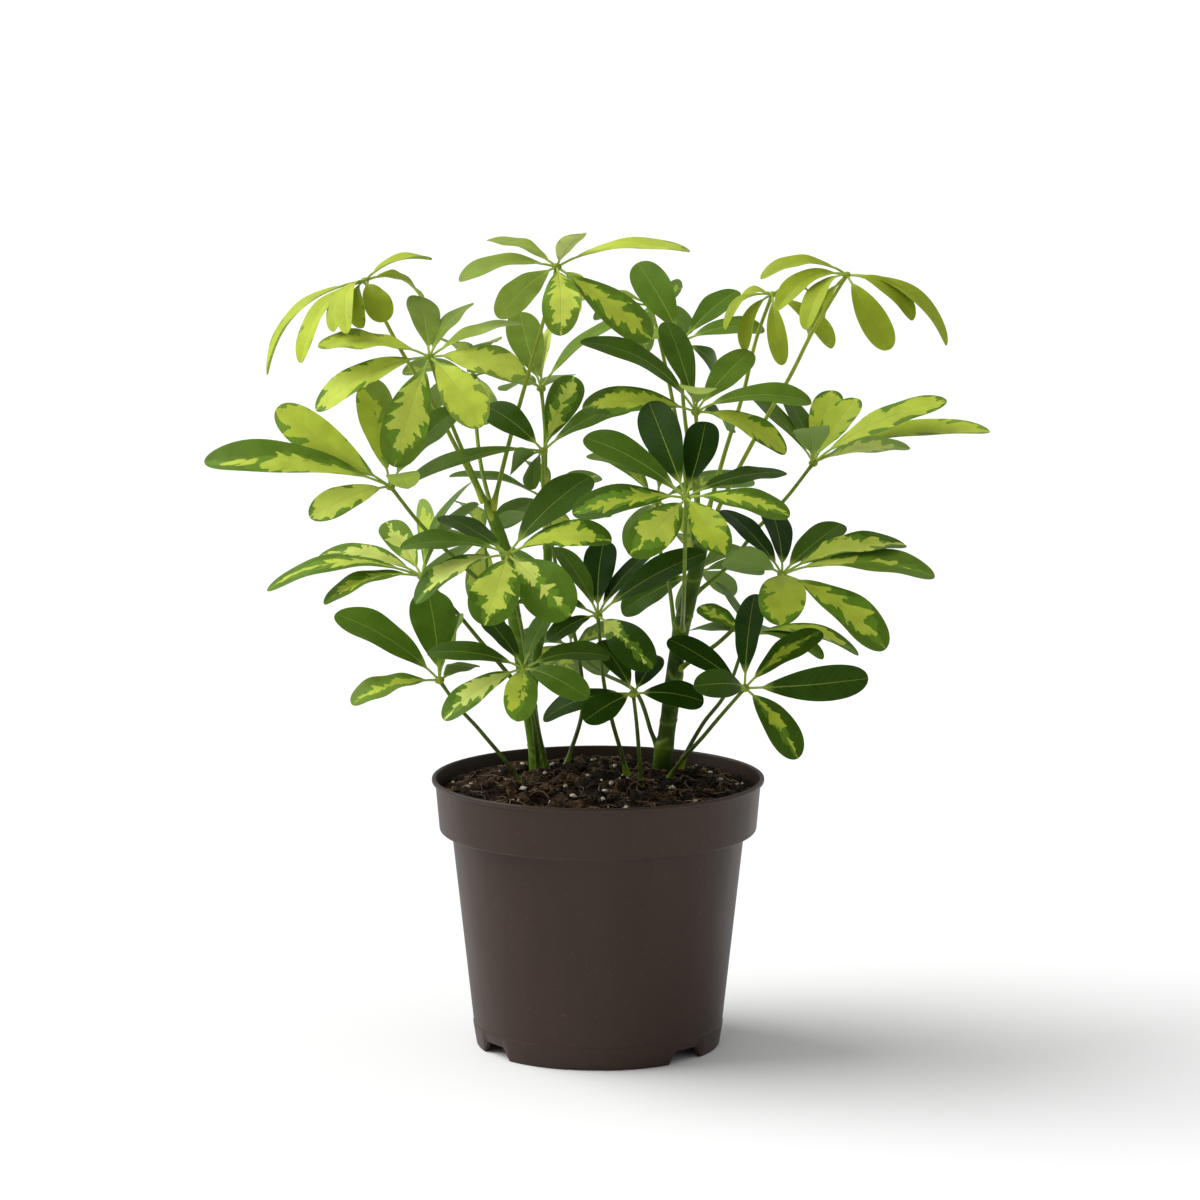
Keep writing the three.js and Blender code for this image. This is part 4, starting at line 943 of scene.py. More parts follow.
@dataclass(frozen=True)
class MouldedPolypropylene(Finish):
    """Recycled polypropylene, injection moulded: an even taupe with a satin skin, faint flow and dust."""

    title: str = "moulded_polypropylene"
    body: str = "#3a291e"
    flow: str = "#2f2118"
    dust: str = "#5a4838"
    flow_mm: float = 28.0
    speck_mm: float = 1000 / 420
    # The mould's real grain is about 0.1 mm, too fine to show, so it is drawn coarser.
    grain_mm: float = 0.7

    def sockets(self, node: Maker) -> dict:
        """Works out the shader's sockets.

        Args:
            node: Adds a node to the material.

        Returns:
            Their values and links by name.
        """
        place = node("TexCoord", (), "Object")
        drawn = node("Mapping", {"Vector": place, "Scale": (1.0, 1.0, 0.3)})
        flow = node("TexNoise", {"Vector": drawn, "Scale": per_metre(self.flow_mm), "Detail": 3.0})
        dust = node("TexNoise", {"Vector": place, "Scale": per_metre(self.speck_mm), "Detail": 4.0})
        dust = node("MapRange", (dust, 0.62, 0.8, 0.0, 0.35))
        grain = node("TexNoise", {"Vector": place, "Scale": per_metre(self.grain_mm), "Detail": 2.0})
        bump = node("Bump", {"Height": grain, "Strength": 0.18, "Distance": 0.1 * MM})
        rough = node("MapRange", (flow, 0.3, 0.7, 0.42, 0.52))
        return {"Base Color": coats(node, self.body, (flow, self.flow), (dust, self.dust)),
                "Roughness": rough, "Normal": bump, "IOR": 1.49, "Specular IOR Level": 0.3}


@dataclass(frozen=True)
class DampPeat(Finish):
    """Damp peat and milled bark: matt dark brown lumps with lighter dry fibre between them."""

    title: str = "damp_peat"
    colours: tuple[str, str, str] = ("#140d08", "#3c2b1c", "#7c5f44")
    crumb_mm: float = 2.4
    damp_mm: float = 1000 / 70

    def sockets(self, node: Maker) -> dict:
        """Works out the shader's sockets.

        Args:
            node: Adds a node to the material.

        Returns:
            Their values and links by name.
        """
        tint = attribute(node, "tone")[0]
        place = node("TexCoord", (), "Object")
        crumbs = node("TexNoise", {"Vector": place, "Scale": per_metre(self.crumb_mm), "Detail": 6.0,
                                   "Roughness": 0.65})
        damp = node("TexNoise", {"Vector": place, "Scale": per_metre(self.damp_mm), "Detail": 2.0})
        level = node("Math", (crumbs, damp), operation="ADD")
        level = node("MapRange", (level, 0.85, 1.25))
        # The tint from the mesh brings painted light and shade: the soil and its lumps lighter to the left,
        # where the key light falls, and the soil darker in its hollows.
        level = node("Math", (level, 0.75, tint), operation="MULTIPLY_ADD", use_clamp=True)
        bump = node("Bump", {"Height": crumbs, "Strength": 0.9, "Distance": 1.0 * MM})
        rough = node("MapRange", (crumbs, 0.3, 0.7, 0.75, 0.95))
        return {"Base Color": range_of(node, level, (0.1, 0.55, 1.0), self.colours), "Roughness": rough,
                "Normal": bump, "Specular IOR Level": 0.15}


@dataclass(frozen=True)
class ExpandedPerlite(Finish):
    """Perlite, volcanic glass popped by heat: crumbly off-white beads, a little stained by the peat."""

    title: str = "expanded_perlite"
    white: str = "#d9d2c5"
    stain: str = "#a08c74"
    stain_mm: float = 2.0

    def sockets(self, node: Maker) -> dict:
        """Works out the shader's sockets.

        Args:
            node: Adds a node to the material.

        Returns:
            Their values and links by name.
        """
        place = node("TexCoord", (), "Object")
        stain = node("TexNoise", {"Vector": place, "Scale": per_metre(self.stain_mm), "Detail": 3.0})
        cover = node("MapRange", (stain, 0.48, 0.75, 0.0, 0.8))
        bump = node("Bump", {"Height": stain, "Strength": 0.6, "Distance": 0.4 * MM})
        rough = node("MapRange", (stain, 0, 1, 0.75, 0.95))
        colour = coats(node, self.white, (cover, self.stain))
        return {"Base Color": colour, "Roughness": rough, "Normal": bump}


@dataclass(frozen=True)
class DryRoot(Finish):
    """Fine root and bark fibre, air-dried: thin tan threads, matt."""

    title: str = "dry_root"
    tan: str = "#9c7d58"
    brown: str = "#4d3625"
    mottle_mm: float = 1000 / 300

    def sockets(self, node: Maker) -> dict:
        """Works out the shader's sockets.

        Args:
            node: Adds a node to the material.

        Returns:
            Their values and links by name.
        """
        tint = attribute(node, "tone")[0]
        place = node("TexCoord", (), "Object")
        mottle = node("TexNoise", {"Vector": place, "Scale": per_metre(self.mottle_mm), "Detail": 2.0})
        level = node("Math", (mottle, tint), operation="MULTIPLY", use_clamp=True)
        rough = node("MapRange", (mottle, 0, 1, 0.7, 0.9))
        bump = node("Bump", {"Height": mottle, "Strength": 0.4, "Distance": 0.3 * MM})
        return {"Base Color": coats(node, self.brown, (level, self.tan)), "Roughness": rough, "Normal": bump}


@dataclass(frozen=True)
class FloorPaint(Finish):
    """Emulsion paint, rolled on: flat near-white without gloss."""

    title: str = "painted_floor"
    colour: str = "#f7f7f7"

    def sockets(self, node: Maker) -> dict:
        """Gives the shader's sockets, which need no nodes."""
        return {"Base Color": linear(self.colour), "Roughness": 0.9, "Specular IOR Level": 0.1}


@dataclass
class Canopy:
    """All compound leaves, each one piece that stands for its plain solid."""

    blade_stations: int = 30
    stalk_stations: int = 4
    columns: int = 13
    edge_crowding: float = 0.35
    stalk_share: float = 0.12
    flatter_away: float = 0.75
    narrower_share: float = 1.2
    join_share: float = 0.06
    inside_hub: float = 1.2
    stalk_radius: float = 0.62
    blade_thick: float = 0.45
    edge_thick: float = 0.14
    rib_thick: float = 0.5
    rib_half: float = 0.9
    sway: float = 0.025
    ruffle: float = 0.02
    fold: tuple[float, float] = (0.05, 0.2)
    young_fold: float = 0.12
    twist: float = 0.12
    bend: float = 0.05
    hub_rows: int = 8
    hub_sides: int = 14
    hub_radius: float = 2.5
    young_hub: float = 0.85
    petiole_top: float = 0.9
    petiole_low: float = 1.2
    petiole_flare: float = 0.35
    flare_length: float = 3.0
    sheath_radius: float = 2.3
    sheath_length: float = 11.0
    rooted_depth: float = 12.0
    petiole_sides: int = 12
    petiole_step: float = 3.0
    soil_seen_up: float = -84.0
    painted_shade_low_z: float = 135.0
    painted_shade_rise: float = 250.0
    base_power: float = 0.95
    tip_power: float = 0.5

    def blade_shape(self, t: np.ndarray) -> np.ndarray:
        """Gives the blade's width along it, slim at its base and broad past the middle.

        Args:
            t: Shares of the blade's length.

        Returns:
            Shares of its greatest width.
        """
        crest = self.base_power / (self.base_power + self.tip_power)
        grown = [np.clip(x, 0, 1) ** self.base_power * np.clip(1 - x, 0, 1) ** self.tip_power
                 for x in (t, crest)]
        return grown[0] / grown[1]

    def leaflet_frame(self, leaf: Leaf, number: int) -> tuple[np.ndarray, np.ndarray, np.ndarray, float]:
        """Finds a leaflet's midrib and the way its blade faces.

        Args:
            leaf: The leaf.
            number: The leaflet's number in it.

        Returns:
            The bend's middle point, the tip, the direction across and the blade's full width.
        """
        leaflet = leaf.leaflets[number]
        hub = leaf.middle
        tip = SIGHT.place(leaf.hub[0] + leaflet.right, leaf.hub[1] + leaflet.up,
                          leaf.front + leaf.toward[number])
        sight = unit(hub - SIGHT.eye)
        along = unit(tip - hub)
        flat = unit(np.cross(sight, along))
        deep = np.cross(along, flat)
        length = np.linalg.norm(tip - hub)
        seen = min(abs(leaflet.seen), leaf.width)
        narrower = min(self.narrower_share * abs(leaf.toward[number]) * seen / (length * leaf.width), 1)
        width = leaf.width + (seen - leaf.width) * narrower
        roll = math.acos(min(seen / width, 1))
        showing = -1 if leaflet.seen > 0 else 1
        side, normal = None, None
        for turn in (roll, -roll):
            facing = np.cross(flat * math.cos(turn) + deep * math.sin(turn), along)
            facing = facing * ((np.sign(facing @ sight) * showing) or 1)
            if normal is None or facing[2] > normal[2]:
                normal, side = facing, np.cross(along, facing)
        away = max(-leaf.toward[number] / length, 0) if leaflet.up > 0 else 0
        arch = leaf.arch * (1 - self.flatter_away * away)
        return (hub + tip) / 2 + normal * (2 * arch * length), tip, side, width

    def add_leaflet(self, bag: MeshBag, leaf: Leaf, number: int, rng: np.random.Generator) -> None:
        """Adds one leaflet: a round stalk that widens into a thin arched blade with a raised rib below.

        Args:
            bag: The leaf's mesh.
            leaf: The leaf.
            number: The leaflet's number in it.
            rng: The source of its small irregularities.
        """
        leaflet = leaf.leaflets[number]
        hub = leaf.middle
        lift, tip, side, width = self.leaflet_frame(leaf, number)
        length = np.linalg.norm(tip - hub)

        # Stations along the midrib, close together at the blade's base and tip.
        stalk = np.linspace(self.inside_hub / length, self.stalk_share, self.stalk_stations, endpoint=False)
        spread = np.linspace(0, 1, self.blade_stations)
        blade = self.stalk_share + (1 - self.stalk_share) * (1 - np.cos(math.pi * spread)) / 2
        t = np.concatenate([stalk, blade])[:, None]
        share = np.clip((t - self.stalk_share) / (1 - self.stalk_share), 0, 1)
        middle_most = np.sin(math.pi * share)
        at = hub * (1 - t) ** 2 + lift * 2 * t * (1 - t) + tip * t ** 2
        along = unit((lift - hub) * (1 - t) + (tip - lift) * t)
        across = unit(side - along * (along @ side)[:, None])
        normal = np.cross(across, along)
        at = at + across * (rng.uniform(-self.sway, self.sway) * length * np.sin(math.pi * t))

        # How far the edge lies from the rib. The leaflet's stalk is round, and turns flat where it joins.
        ruffle = 1 + self.ruffle * np.sin(rng.uniform(5, 9) * share + rng.uniform(0, CIRCLE))
        half = np.maximum(width / 2 * self.blade_shape(share) * ruffle, 0.3)
        flatness = np.clip(share / self.join_share, 0, 1)
        roundness = self.stalk_radius * (1 - flatness)
        half = roundness + np.maximum(half, roundness) * flatness
        even = np.linspace(-1, 1, self.columns)
        u = (np.sin(even * math.pi / 2) * self.edge_crowding + even * (1 - self.edge_crowding))[None, :]

        # The blade's fold along the rib, the waves of its edge, its twist and its bend.
        upright = 0.3 + 0.7 * math.hypot(leaflet.right, leaflet.up) / length
        fold = rng.uniform(*self.fold) + (self.young_fold if leaf.young else 0)
        waves = rng.uniform(1.2, 2.6)
        wave_height = rng.uniform(0.015, 0.045) * width
        phase = rng.uniform(0, CIRCLE, 2)
        ripple = np.sin(CIRCLE * waves * share + np.where(u > 0, phase[0], phase[1]))
        twist = rng.uniform(-self.twist, self.twist) * share
        bend = rng.uniform(-self.bend, self.bend) * width
        crease = half * fold * (np.abs(u) ** 1.2 - 0.35) + wave_height * ripple * u ** 2 * middle_most
        crease = (crease + u * half * twist + bend * middle_most) * flatness * upright
        thick = (self.edge_thick + (self.blade_thick - self.edge_thick) * (1 - u ** 2)) / 2
        rib = np.exp(-(u * half / self.rib_half) ** 2) * self.rib_thick * (1 - 0.7 * share)
        bulge = roundness * np.sqrt(np.maximum(1 - u ** 2, 0.0))
        above = bulge + (thick - 0.25 * rib) * flatness
        below = bulge + (thick + rib) * flatness
        edge = u * half
        flat = at[:, None] + across[:, None] * edge[..., None]
        top = flat + normal[:, None] * (crease + above)[..., None]
        low = flat + normal[:, None] * (crease - below)[..., None]

        place = np.stack(np.broadcast_arrays(u, share, edge), axis=-1)
        breadth, lean, end, gold = leaflet.paint.value
        shade = leaf.shade if leaflet.shade is None else leaflet.shade
        shade = float(np.clip(shade + rng.uniform(-0.05, 0.05), 0, 1))
        gold = gold + rng.uniform(-0.08, 0.08)
        sides = [np.broadcast_to((shade, gold, under), place.shape) for under in (0, 1)]
        bag.add_grid(np.concatenate([top, low[:, ::-1]], axis=1), 0, tone=np.concatenate(sides, axis=1),
                     blade=np.concatenate([place, place[:, ::-1]], axis=1),
                     patch=(breadth, lean, rng.uniform(0, 1)), reach=(end, 0, 0))

    def add_stalk(self, bag: MeshBag, leaf: Leaf) -> None:
        """Adds the leaf stalk, swollen where it clasps its stem or leaves the soil.

        Args:
            bag: The leaf's mesh.
            leaf: The leaf.
        """
        points = [leaf.middle, *(SIGHT.place(*p) for p in leaf.stalk), SIGHT.place(*leaf.root)]
        in_soil = leaf.root[1] < self.soil_seen_up
        foot, before = points[-1], points[-2]
        if in_soil:
            points.append(foot - np.array([0, 0, self.rooted_depth]))
        else:
            points.insert(-1, foot + (before - foot) * self.sheath_length / np.linalg.norm(before - foot))
        way, _ = smooth_way(np.array(points), self.petiole_step)
        run = run_length(way)
        radius = self.petiole_top + (self.petiole_low - self.petiole_top) * run / run[-1]
        from_foot = run[-1] - run - (self.rooted_depth if in_soil else 0)
        swell = np.clip(1 - from_foot / self.sheath_length, 0, 1)
        radius = radius + (self.sheath_radius - self.petiole_low) * swell ** 2 * (3 - 2 * swell)
        radius = radius + self.petiole_flare * np.exp(-(run / self.flare_length) ** 2)
        grid = tube(way, radius, self.petiole_sides)
        # Painted shade: the stalk is darker low down, where the leaves above shade it; young stalks and
        # sheaths are paler in their own colour.
        high = np.clip((way[:, 2] - self.painted_shade_low_z) / self.painted_shade_rise, 0, 1)
        shade = 0.06 + 0.74 * high ** 0.8 + (0.14 if leaf.young else 0.0) + 0.7 * swell ** 1.2
        bag.add_grid(grid[::-1], 1, tone=tones(grid.shape[:2], shade[:, None])[::-1])

    def add_hub(self, bag: MeshBag, leaf: Leaf, rng: np.random.Generator) -> None:
        """Adds the knob where the leaflets meet.

        Args:
            bag: The leaf's mesh.
            leaf: The leaf.
            rng: The source of its small bumps.
        """
        size = (self.hub_rows, self.hub_sides)
        share, light = (self.young_hub, 0.92) if leaf.young else (1, 0.72)
        radius = self.hub_radius * share * (1 + rng.uniform(-0.08, 0.08, size))
        bag.add_grid(ball(*size, 0.47, radius, 0.8) + leaf.middle, 1, tone=(light, 0, 0))

    def build(self, blade: bpy.types.Material, stalk: bpy.types.Material) -> list[bpy.types.Object]:
        """Builds every leaf.

        Args:
            blade: The blades' material.
            stalk: The stalks' material.

        Returns:
            The leaves.
        """
        Settling().run()
        pieces = []
        for number, leaf in enumerate(LEAVES):
            rng = np.random.default_rng(SEED + number)
            bag = MeshBag("blade", "patch", "tone", "reach")
            self.add_stalk(bag, leaf)
            self.add_hub(bag, leaf, rng)
            for k in range(len(leaf.leaflets)):
                self.add_leaflet(bag, leaf, k, rng)
            pieces.append(bag.build("umbrella_" + leaf.name, [blade, stalk],
                                    "young_leaves" if leaf.young else "leaves", leaf.name, sharp=60))
        return pieces


@dataclass
class Trunks:
    """The green stems, with ring scars where old leaves fell and sheaths where leaves leave."""

    sides: int = 24
    step: float = 0.8
    rooted_depth: float = 13.0
    ring_spacing: float = 17.0
    ring_height: float = 0.32
    ring_half: float = 0.8
    clasp_sag: float = -5.0
    clasp_lip: float = 1.2
    clasp_line: float = 1.1
    clasp_facing: float = 0.25
    tip_length: float = 7.0

    def build_stem(self, stem: Stem, material: bpy.types.Material,
                   rng: np.random.Generator) -> bpy.types.Object:
        """Builds one stem.

        Args:
            stem: The stem.
            material: Its material.
            rng: The source of its irregularities.

        Returns:
            The stem's piece.
        """
        points = np.array([SIGHT.place(*p) for p in stem.path])
        points = np.vstack([points[0] - [0, 0, self.rooted_depth], points])
        way, places = smooth_way(points, self.step)
        base = np.interp(places, np.arange(len(points)), [stem.radii[0], *stem.radii])[:, None]
        length = run_length(way)[-1]
        run = run_length(way)[:, None]
        angle = round_angles(self.sides)
        across, other = ring_frames(way)
        scar = np.zeros((len(way), self.sides))
        ring = self.rooted_depth + rng.uniform(8, 14)
        while ring < length - self.tip_length:
            tilt = rng.uniform(0.1, 0.5)
            off = (run - ring - tilt * base * np.cos(angle - rng.uniform(0, CIRCLE))) / self.ring_half
            scar = np.maximum(scar, np.exp(-off ** 2))
            ring += self.ring_spacing * rng.uniform(0.7, 1.4)
        sheath = np.zeros_like(scar)
        for top, azimuth, long, swell in stem.clasps:
            heading = np.array([math.sin(math.radians(azimuth)), -math.cos(math.radians(azimuth)), 0])
            facing = (across @ heading)[:, None] * np.cos(angle) + (other @ heading)[:, None] * np.sin(angle)
            below = self.rooted_depth + top + self.clasp_sag * (facing - 1) - run
            held = np.clip(facing, 0, 1) ** 0.7 * np.clip(below / self.clasp_lip, 0, 1)
            sheath += swell * held * np.clip(1 - below / long, 0, 1)
            line = 1.6 * np.exp(-(below / self.clasp_line) ** 2) * (facing > self.clasp_facing)
            scar = np.maximum(scar, line)
        lumps = 0.05 * np.sin(run / 7 + 2 * angle) + 0.03 * np.sin(run / 3.1 - 3 * angle)
        radius = base * (1 + 0.6 * lumps) + self.ring_height * scar + sheath
        end = np.clip((length - run) / self.tip_length, 0.02, 1)
        radius = radius * np.sqrt(1 - (1 - end) ** 2 * 0.98)
        green = stem.green + 0.25 * np.clip(run / length, 0, 1) + 0.6 * np.clip(sheath, 0, 1)
        bag = MeshBag("tone")
        bag.add_grid(tube(way, radius, self.sides), tone=tones(scar.shape, green, 0.3 * scar))
        return bag.build("green_" + stem.name, [material], "stems", stem.name)

    def build(self, material: bpy.types.Material) -> list[bpy.types.Object]:
        """Builds the stems, each with its own run of random numbers."""
        return [self.build_stem(stem, material, np.random.default_rng(SEED + 100 + number))
                for number, stem in enumerate(STEMS)]


@dataclass
class NurseryPot:
    """The moulded pot: rolled lip, deep collar, step, tapered body and a foot ring with notches."""

    height: float = 139.5
    wall: float = 1.5
    lip_radius: float = 85.4
    lip_depth: float = 2.4
    lip_inner: float = 83.2
    collar_top: float = 83.6
    collar_low: float = 81.5
    collar_low_z: float = 113.0
    collar_edge: float = 80.9
    collar_edge_z: float = 112.2
    body_top: float = 75.2
    body_top_z: float = 111.3
    step_z: float = 12.0
    step_half: float = 0.4
    step_out: float = 0.35
    foot: float = 63.0
    foot_wall: float = 2.4
    foot_draft: float = 0.2
    floor_z: float = 8.0
    floor_thick: float = 1.8
    notch_height: float = 6.5
    notch_width: float = 24.0
    notch_top: float = 15.0
    notch_azimuths: tuple[float, ...] = (-57, 46, 134, -145)
    gap_azimuth: float = -6.0
    gap_width: float = 22.0
    gap_slope: float = 1.5
    gap_height: float = 0.9
    drain_count: int = 6
    drain_radius: float = 5.0
    drain_ring: float = 40.0
    middle_radius: float = 1.0
    segments: int = 360
    corner_steps: int = 5
    profile_step: float = 6.0

    def corners(self) -> list[Triple]:
        """Lists the section's corners from the middle of the underside, up outside and down inside.

        Returns:
            Each corner's radius, height and how far it is rounded.
        """
        inner_foot, lip_z = self.foot - self.foot_wall, self.height - self.lip_depth
        floor_top = self.floor_z + self.floor_thick
        return [
            (self.middle_radius, self.floor_z, 0), (inner_foot, self.floor_z, 1.0), (inner_foot, 0, 0.5),
            (self.foot - self.foot_draft, 0, 0.8),
            (self.taper(self.step_z) + self.step_out, self.step_z - self.step_half, 0.3),
            (self.taper(self.step_z + self.step_half), self.step_z + self.step_half, 0.3),
            (self.body_top, self.body_top_z, 0.7), (self.collar_edge, self.collar_edge_z, 0.3),
            (self.collar_low, self.collar_low_z, 0.4), (self.collar_top, lip_z, 0.6),
            (self.lip_radius, lip_z, 1.1), (self.lip_radius, self.height, 1.1),
            (self.lip_inner, self.height, 1.0),
            (self.collar_low - self.wall, self.collar_low_z + self.wall, 1.5),
            (self.body_top - self.wall, self.body_top_z + self.wall, 1.5),
            (self.foot - self.wall, floor_top, 2.0), (self.middle_radius, floor_top, 0),
        ]

    def profile(self) -> np.ndarray:
        """Draws the pot's section with its corners rounded.

        Returns:
            Rows of radius and height.
        """
        corners = self.corners()
        rounded = [np.array(corners[0][:2])]
        for before, (r, z, soft), after in zip(corners, corners[1:-1], corners[2:]):
            corner = np.array([r, z])
            to_before, to_after = np.array(before[:2]) - corner, np.array(after[:2]) - corner
            start = corner + unit(to_before) * min(soft, np.linalg.norm(to_before) / 2.1)
            stop = corner + unit(to_after) * min(soft, np.linalg.norm(to_after) / 2.1)
            for s in np.arange(self.corner_steps + 1) / self.corner_steps:
                rounded.append(start * (1 - s) ** 2 + corner * 2 * s * (1 - s) + stop * s ** 2)
        rounded.append(np.array(corners[-1][:2]))
        fine = [rounded[0]]
        for a, b in zip(rounded, rounded[1:]):
            steps = max(int(np.linalg.norm(b - a) // self.profile_step), 1)
            fine += [a + (b - a) * (k + 1) / steps for k in range(steps)]
        return np.array(fine)

    def taper(self, z: float) -> float:
        """Gives the body's outer radius at a height."""
        return self.foot + (self.body_top - self.foot) * z / self.body_top_z

    def notch(self, angle: np.ndarray) -> np.ndarray:
        """Gives how high the foot ring is cut at each angle round it.

        Args:
            angle: Angles from the front, in radians.

        Returns:
            Heights.
        """
        cut = np.zeros_like(angle)
        for azimuth in self.notch_azimuths:
            off = np.abs((angle - math.radians(azimuth) + math.pi) % CIRCLE - math.pi) * self.foot
            slope = (self.notch_width / 2 - off) / (self.notch_width / 2 - self.notch_top / 2)
            cut = np.maximum(cut, np.clip(slope, 0, 1) * self.notch_height)
        off = np.abs(angle - math.radians(self.gap_azimuth)) * self.foot
        gap = np.clip((self.gap_width / 2 - off) / self.gap_slope, 0, 1) * self.gap_height
        return np.maximum(cut, gap)

    def build(self, material: bpy.types.Material) -> bpy.types.Object:
        """Builds the pot.

        Args:
            material: Its material.

        Returns:
            The pot.
        """
        profile = self.profile()
        angle = np.linspace(-math.pi, math.pi, self.segments, endpoint=False)
        radius, height = profile[:, :1], profile[:, 1:]
        low_zone = self.notch_height + 1.2
        on_foot = (height < low_zone) & (radius > self.foot - self.foot_wall - 0.6)
        cut = self.notch(angle)[None, :]
        lifted = np.where(on_foot, cut + height * (1 - cut / low_zone), height)
        bag = MeshBag()
        bag.add_grid(np.stack([radius * np.sin(angle), -radius * np.cos(angle),
                               lifted * np.ones_like(angle)], axis=-1))
        pot = bag.build("nursery_pot", [material], "pot", "pot", sharp=35)
        self.drill(pot)
        return pot

    def drill(self, pot: bpy.types.Object) -> None:
        """Cuts the drain holes through the pot's raised floor.

        Args:
            pot: The pot.
        """
        drills = MeshBag()
        angle = round_angles(40)
        circle = self.drain_radius * np.stack([np.cos(angle), np.sin(angle), 0 * angle], axis=-1)
        for turn in round_angles(self.drain_count):
            middle = [self.drain_ring * math.cos(turn), self.drain_ring * math.sin(turn), self.floor_z]
            drills.add_grid(np.stack([circle + middle + [0, 0, rise] for rise in (-4, 4)]))
        drill = add_object("drain_drill", drills.mesh("drain_drill"))
        cut = pot.modifiers.new("drain_holes", "BOOLEAN")
        cut.operation = "DIFFERENCE"
        cut.solver = "EXACT"
        cut.object = drill
        bpy.context.view_layer.update()
        pot.data = bpy.data.meshes.new_from_object(pot.evaluated_get(bpy.context.evaluated_depsgraph_get()))
        pot.modifiers.clear()
        bpy.data.objects.remove(drill)


@dataclass(frozen=True)
class Crumb:
    """One kind of lump strewn over the soil: how many, how large, how high it sits and how light it is.

    A size is its least, what is added at most, and the power that makes large ones rare. Its tint has a
    random part, and a part of painted light that grows to the left, where the key light falls, between two
    limits.
    """

    count: int
    margin: float
    size: Triple
    shape: tuple[tuple[float, float], ...]
    lift: tuple[float, float]
    sides: int
    rows: int
    tint: tuple[float, float] | None = None
    painted_light_leftward: float = 0.0
    right_limit: float = 0.0
    darker: float = 0.0


